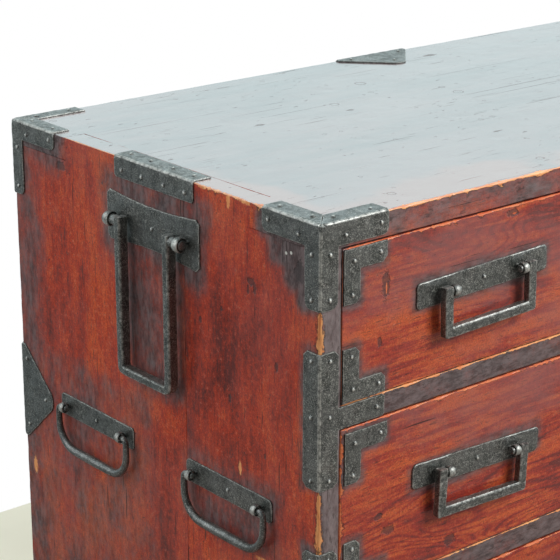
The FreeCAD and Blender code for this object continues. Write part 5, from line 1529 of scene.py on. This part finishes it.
class CHEST_OT_nails(bpy.types.Operator):
    """Make the nails"""
    bl_idname = "chest.nails"
    bl_label = "Nails"

    def execute(self, context):
        for seed, node in enumerate(["case_nails"] + [word + "_drawer_nails" for word in DRAWERS]):
            add_piece(node + "_domed", nail_skin(node, 301 + seed), [node],
                      finish("nail_iron"), crease=60.0)
        return {"FINISHED"}


def front_seat(name):
    """Matrix and place that put a drawer handle's own frame at its joint, on the front's face, and
    how far its pivot stands off."""
    x, y, z = JOINTS[name]["pos_m"]
    axis = JOINTS[name]["axis"]
    lean = math.degrees(math.atan2(axis[2], -axis[0]))
    return turn("Y", lean), np.array([x, FRONT, z]), FRONT - y


def oblong(long, high, rounding):
    """The outline of an oblong plate with rounded corners."""
    a, b = long / 2.0, high / 2.0
    return trace([(-a, -b, rounding), (a, -b, rounding), (a, b, rounding), (-a, b, rounding)])


def with_stubs(bail, start, stop, radius, seed):
    """A bail and the stubs that it turns on."""
    return joined([bail] + [pintle_skin(way * start, way * stop, radius, seed) for way in (LEFT, RIGHT)])


def forge_seats(kind, hung):
    """Forge the plates and the pins of one kind of handle, from what hang returned for each."""
    plates, pairs = zip(*hung)
    forge(kind + "_handle_plates", plates)
    forge(kind + "_handle_pins", [pin for pair in pairs for pin in pair])


def hang(name, seat, bar, outline, eye, pin, seed, crease=38.0, lift=None):
    """Forge a handle's bar in its place. Returns its plate and its two split pins as skins.

    seat gives the matrix, place and stand-off of the handle's own frame from its joint's name. eye is
    the distance from its middle to an eye, and pin holds the eye's inner radius and wall and the
    pin's width, depth and clinch."""
    matrix, place, out = seat(name + "_swing")
    forge(name, [bar.moved(offset=(0.0, -out, 0.0)).moved(matrix, place)], crease)
    pins = [split_pin(out, *pin, seed).moved(offset=(way * eye, 0.0, 0.0)) for way in (LEFT, RIGHT)]
    return (plate_skin(outline, on_wood, seed, lift=lift).moved(matrix, place),
            [skin.moved(matrix, place) for skin in pins])


class CHEST_OT_drawer_handles(bpy.types.Operator):
    """Make the drawers' bails with their plates and split pins"""
    bl_idname = "chest.drawer_handles"
    bl_label = "Drawer handles"

    def execute(self, context):
        sizes = context.scene.chest_handles
        outline = oblong(sizes.plate_length, sizes.plate_height, sizes.plate_round)
        inner_round, squareness, buried, stub = 1.0 * MM, 9.0, 1.5 * MM, 9 * MM
        near = sizes.bail_width / 2.0 - sizes.bail_face
        eye = near - sizes.eye_gap - sizes.eye_width / 2.0
        pin = (sizes.pintle + EYE_PLAY, sizes.eye_wall, sizes.eye_width, sizes.pin_depth, sizes.clinch)

        def ears(flat):
            """How far a plate stands up at its eyes and beyond them."""
            return 0.25 * MM * ease(np.abs(flat[:, 0]), eye - 6 * MM, eye - 3 * MM)

        for number, word in enumerate(DRAWERS):
            drawer = word + "_drawer"
            hung = []
            for side_number, side in enumerate(("left", "right")):
                name = "%s_%s_bail" % (drawer, side)
                seed = 401 + 10 * number + 3 * side_number
                bail = square_bail(sizes.bail_width, sizes.bail_drop, sizes.bail_face, sizes.bail_bar,
                                   sizes.bail_head, inner_round, squareness, seed)
                bail = with_stubs(bail, near + buried, near - stub, sizes.pintle, seed)
                hung.append(hang(name, front_seat, bail, outline, eye, pin, seed, lift=ears))
            forge_seats(drawer, hung)
        return {"FINISHED"}


def dished_outline(long, end, waist, clip, step=1.8 * MM):
    """The long handle's plate: its upper and lower edges are hollow curves, waist * (1 - t * t)."""
    a, b = long / 2.0, end / 2.0
    chord = a - clip
    count = int(2.0 * chord / step)
    t = np.linspace(-1.0, 1.0, count + 1)
    lower = np.column_stack([t * chord, -b + waist * (1.0 - t * t)])
    rise = np.linspace(-b + clip, b - clip, max(3, int((end - 2 * clip) / step)))
    right = np.column_stack([np.full(len(rise), a), rise])
    return np.concatenate([lower, right, -lower, -right])


def side_seat(name):
    """Matrix and place that put a side handle's own frame at its joint, on the side's face."""
    x, y, z = JOINTS[name]["pos_m"]
    side = math.copysign(1.0, x)
    return turn("Z", 90.0 * side), np.array([side * HALF_WIDTH, y, z]), abs(x) - HALF_WIDTH


class CHEST_OT_long_handles(bpy.types.Operator):
    """Make the long carrying handles with their plates and split pins"""
    bl_idname = "chest.long_handles"
    bl_label = "Long handles"

    def execute(self, context):
        sizes = context.scene.chest_handles
        clip, head, squareness, buried, stub = 4 * MM, 4.8 * MM, 2.3, 2 * MM, 4.1 * MM
        eye_wall, eye_width = 2.0 * MM, 7 * MM
        outline = dished_outline(sizes.carry_plate, sizes.carry_plate_end, sizes.carry_plate_waist, clip)
        near, tip = sizes.carry_width / 2.0 - buried, sizes.carry_eye + stub
        pin = (sizes.carry_pintle + EYE_PLAY, eye_wall, eye_width, SIDE_PIN_DEPTH, sizes.clinch)
        hung = []
        for number, side in enumerate(("left", "right")):
            name = side + "_carry_handle"
            seed = 501 + 7 * number
            bail = square_bail(sizes.carry_width, sizes.carry_drop, sizes.carry_face, sizes.carry_bar, head,
                               sizes.carry_round - sizes.carry_face, squareness, seed)
            bail = with_stubs(bail, near, tip, sizes.carry_pintle, seed)
            hung.append(hang(name, side_seat, bail, outline, sizes.carry_eye, pin, seed))
        forge_seats("carry", hung)
        return {"FINISHED"}


def bow_skin(sizes, seed):
    """A round bar bent into a bow: in through an eye, over its shoulder, round below and back.
    Its radius swells from the ends to the middle with the square of the sine of the way along."""
    half, reach = sizes.lift_width / 2.0, sizes.lift_reach
    shoulder, bend, tip = 4.4 * MM, 22 * MM, 37 * MM
    quarter = np.linspace(0.0, math.pi / 2.0, 8)
    into = np.column_stack([[-tip, -tip - 0.3 * MM, -tip - 2 * MM, -half + shoulder], np.zeros(4)])
    over = np.column_stack([-half + shoulder - shoulder * np.sin(quarter),
                            -shoulder + shoulder * np.cos(quarter)])
    drop = np.column_stack([np.full(2, -half), [-shoulder - 2 * MM, -reach + bend + 1 * MM]])
    below = np.column_stack([-half + bend - bend * np.cos(quarter), -reach + bend - bend * np.sin(quarter)])
    base = np.column_stack([np.linspace(-half + bend, 0.0, 6)[1:], np.full(5, -reach)])
    left = np.concatenate([into, over[1:], drop, below, base])
    path = both_halves(left)
    run = np.concatenate([[0.0], np.cumsum(np.linalg.norm(np.diff(path, axis=0), axis=1))])
    grown = np.sin(math.pi * run / run[-1]) ** 2
    radius = sizes.lift_end + (sizes.lift_bar - sizes.lift_end) * grown
    radius[[0, -1]] *= 0.5
    radius[[1, -2]] *= 0.9
    return bar_skin(path, square_to(path), radius, radius, sides=18, seed=seed, dents=0.12 * MM, mark=0.4)


class CHEST_OT_small_handles(bpy.types.Operator):
    """Make the small lifting handles with their plates and split pins"""
    bl_idname = "chest.small_handles"
    bl_label = "Small handles"

    def execute(self, context):
        sizes = context.scene.chest_handles
        outline = oblong(sizes.lift_plate, sizes.lift_plate_height, sizes.plate_round)
        eye_inner, eye_width = 3.16 * MM, 5.4 * MM
        pin = (eye_inner, sizes.eye_wall, eye_width, SIDE_PIN_DEPTH, sizes.clinch)
        hung = []
        for number, (side, end) in enumerate((s, e) for s in ("left", "right") for e in ("front", "rear")):
            name = "%s_%s_lifting_bail" % (side, end)
            seed = 601 + 5 * number
            bow = bow_skin(sizes, seed)
            hung.append(hang(name, side_seat, bow, outline, sizes.lift_eye, pin, seed, crease=70.0))
        forge_seats("lifting", hung)
        return {"FINISHED"}


# ---- stage ----


def add_lamp(name, place, aim, size, power, tint):
    """Put an oblong lamp into the scene, turned towards its aim."""
    lamp = bpy.data.lights.new(name, "AREA")
    lamp.shape = "RECTANGLE"
    lamp.size, lamp.size_y = size
    lamp.energy = power
    lamp.color = tint
    thing = bpy.data.objects.new(name, lamp)
    thing.location = place
    thing.rotation_mode = "QUATERNION"
    thing.rotation_quaternion = (Vector(place) - Vector(aim)).to_track_quat("Z", "Y")
    bpy.context.scene.collection.objects.link(thing)


def surroundings(stage):
    """White where the camera sees them. Reflections and light come from a room that is bright behind
    the chest, above it and to its left, and dim on the camera's side and below the horizon."""
    world = bpy.data.worlds.new("surroundings")
    world.use_nodes = True
    room = Nodes(world.node_tree)
    way = room.add("ShaderNodeTexCoord").outputs["Generated"]
    toward = room.vector("DOT_PRODUCT", way, stage.bright_way, result="Value")
    light = room.level(Value(room, toward), -0.25, 0.75, stage.dim, 1.0)
    path = room.add("ShaderNodeLightPath").outputs
    reflected = Value(room, path["Is Glossy Ray"]) | path["Is Transmission Ray"]
    lit = room.between(reflected, light * stage.ambient, light)
    room.fed(world.node_tree.nodes["Background"], 0, Strength=room.between(path["Is Camera Ray"], lit, 1.0),
             Color=room.mix(reflected, (1.0, 1.0, 1.0), stage.tint))
    return world


class CHEST_OT_stage(bpy.types.Operator):
    """Make the floor, the lights and the camera"""
    bl_idname = "chest.stage"
    bl_label = "Stage"

    def execute(self, context):
        scene = context.scene
        stage = scene.chest_stage
        mesh = bpy.data.meshes.new("floor")
        near, far, side = -3.0, 0.44, 3.0
        corners = [(-side, near, 0), (side, near, 0), (side, far, 0), (-side, far, 0)]
        mesh.from_pydata(corners, [], [(0, 1, 2, 3)])
        floor = bpy.data.objects.new("floor", mesh)
        scene.collection.objects.link(floor)
        f = Finish("floor")
        mottle = f.level(f.noise(6.0, 3.0), 0.3, 0.7, 0.96, 1.03)
        tone = f.mix(1.0, scene.chest_colours.floor, mottle, "MULTIPLY")
        seen = f.add("ShaderNodeLightPath").outputs["Is Camera Ray"]
        f.colour = f.mix(seen, scene.chest_colours.floor_dim, tone)
        mesh.materials.append(f.made(Roughness=0.8))

        scene.world = surroundings(stage)
        add_lamp("front_lamp", (0.9, -1.9, 1.9), (0.0, -0.2, 0.25), (1.2, 1.2), stage.key, (1.0, 0.985, 0.96))
        add_lamp("back_lamp", (-2.1, 0.9, 1.5), (-0.4, 0.0, 0.25), (2.6, 2.6), stage.fill, (0.97, 0.99, 1.0))

        scene.view_settings.view_transform = "Standard"
        camera = bpy.data.cameras.new("camera")
        camera.lens = stage.lens
        camera.sensor_width = 36.0
        camera.clip_start, camera.clip_end = 0.05, 50.0
        eye = bpy.data.objects.new("camera", camera)
        a, e = math.radians(stage.azimuth), math.radians(stage.elevation)
        back_way = Vector((math.sin(a) * math.cos(e), -math.cos(a) * math.cos(e), math.sin(e)))
        eye.location = stage.eye
        eye.rotation_mode = "QUATERNION"
        level = (-back_way).to_track_quat("-Z", "Y")
        eye.rotation_quaternion = level @ Quaternion((0.0, 0.0, 1.0), math.radians(stage.roll))
        scene.collection.objects.link(eye)
        scene.camera = eye
        return {"FINISHED"}


STEPS = (CHEST_OT_stage, CHEST_OT_case_boards, CHEST_OT_drawers, CHEST_OT_case_irons, CHEST_OT_drawer_irons,
         CHEST_OT_nails, CHEST_OT_drawer_handles, CHEST_OT_long_handles, CHEST_OT_small_handles)
SETTINGS = {"chest_wear": ChestWear, "chest_irons": ChestIrons, "chest_handles": ChestHandles,
            "chest_colours": ChestColours, "chest_stage": ChestStage}


class CHEST_PT_panel(bpy.types.Panel):
    """The chest's steps and sizes"""
    bl_idname = "CHEST_PT_panel"
    bl_label = "Drawer chest"
    bl_space_type = "VIEW_3D"
    bl_region_type = "UI"
    bl_category = "Chest"

    def draw(self, context):
        for step in STEPS:
            self.layout.operator(step.bl_idname)
        for key, group in SETTINGS.items():
            box = self.layout.box()
            box.label(text=group.__name__[5:])
            for name in group.__annotations__:
                box.prop(getattr(context.scene, key), name)


def register():
    """Register the settings, the steps and the panel."""
    for group in SETTINGS.values():
        bpy.utils.register_class(group)
    for key, group in SETTINGS.items():
        setattr(bpy.types.Scene, key, PointerProperty(type=group))
    for step in STEPS:
        bpy.utils.register_class(step)
    bpy.utils.register_class(CHEST_PT_panel)


def unregister():
    """Take them off again, last first."""
    bpy.utils.unregister_class(CHEST_PT_panel)
    for step in reversed(STEPS):
        bpy.utils.unregister_class(step)
    for key, group in reversed(SETTINGS.items()):
        delattr(bpy.types.Scene, key)
        bpy.utils.unregister_class(group)


def main():
    """Make the chest and its stage."""
    register()
    for step in STEPS:
        group, name = step.bl_idname.split(".")
        getattr(getattr(bpy.ops, group), name)()


if __name__ == "__main__":
    main()
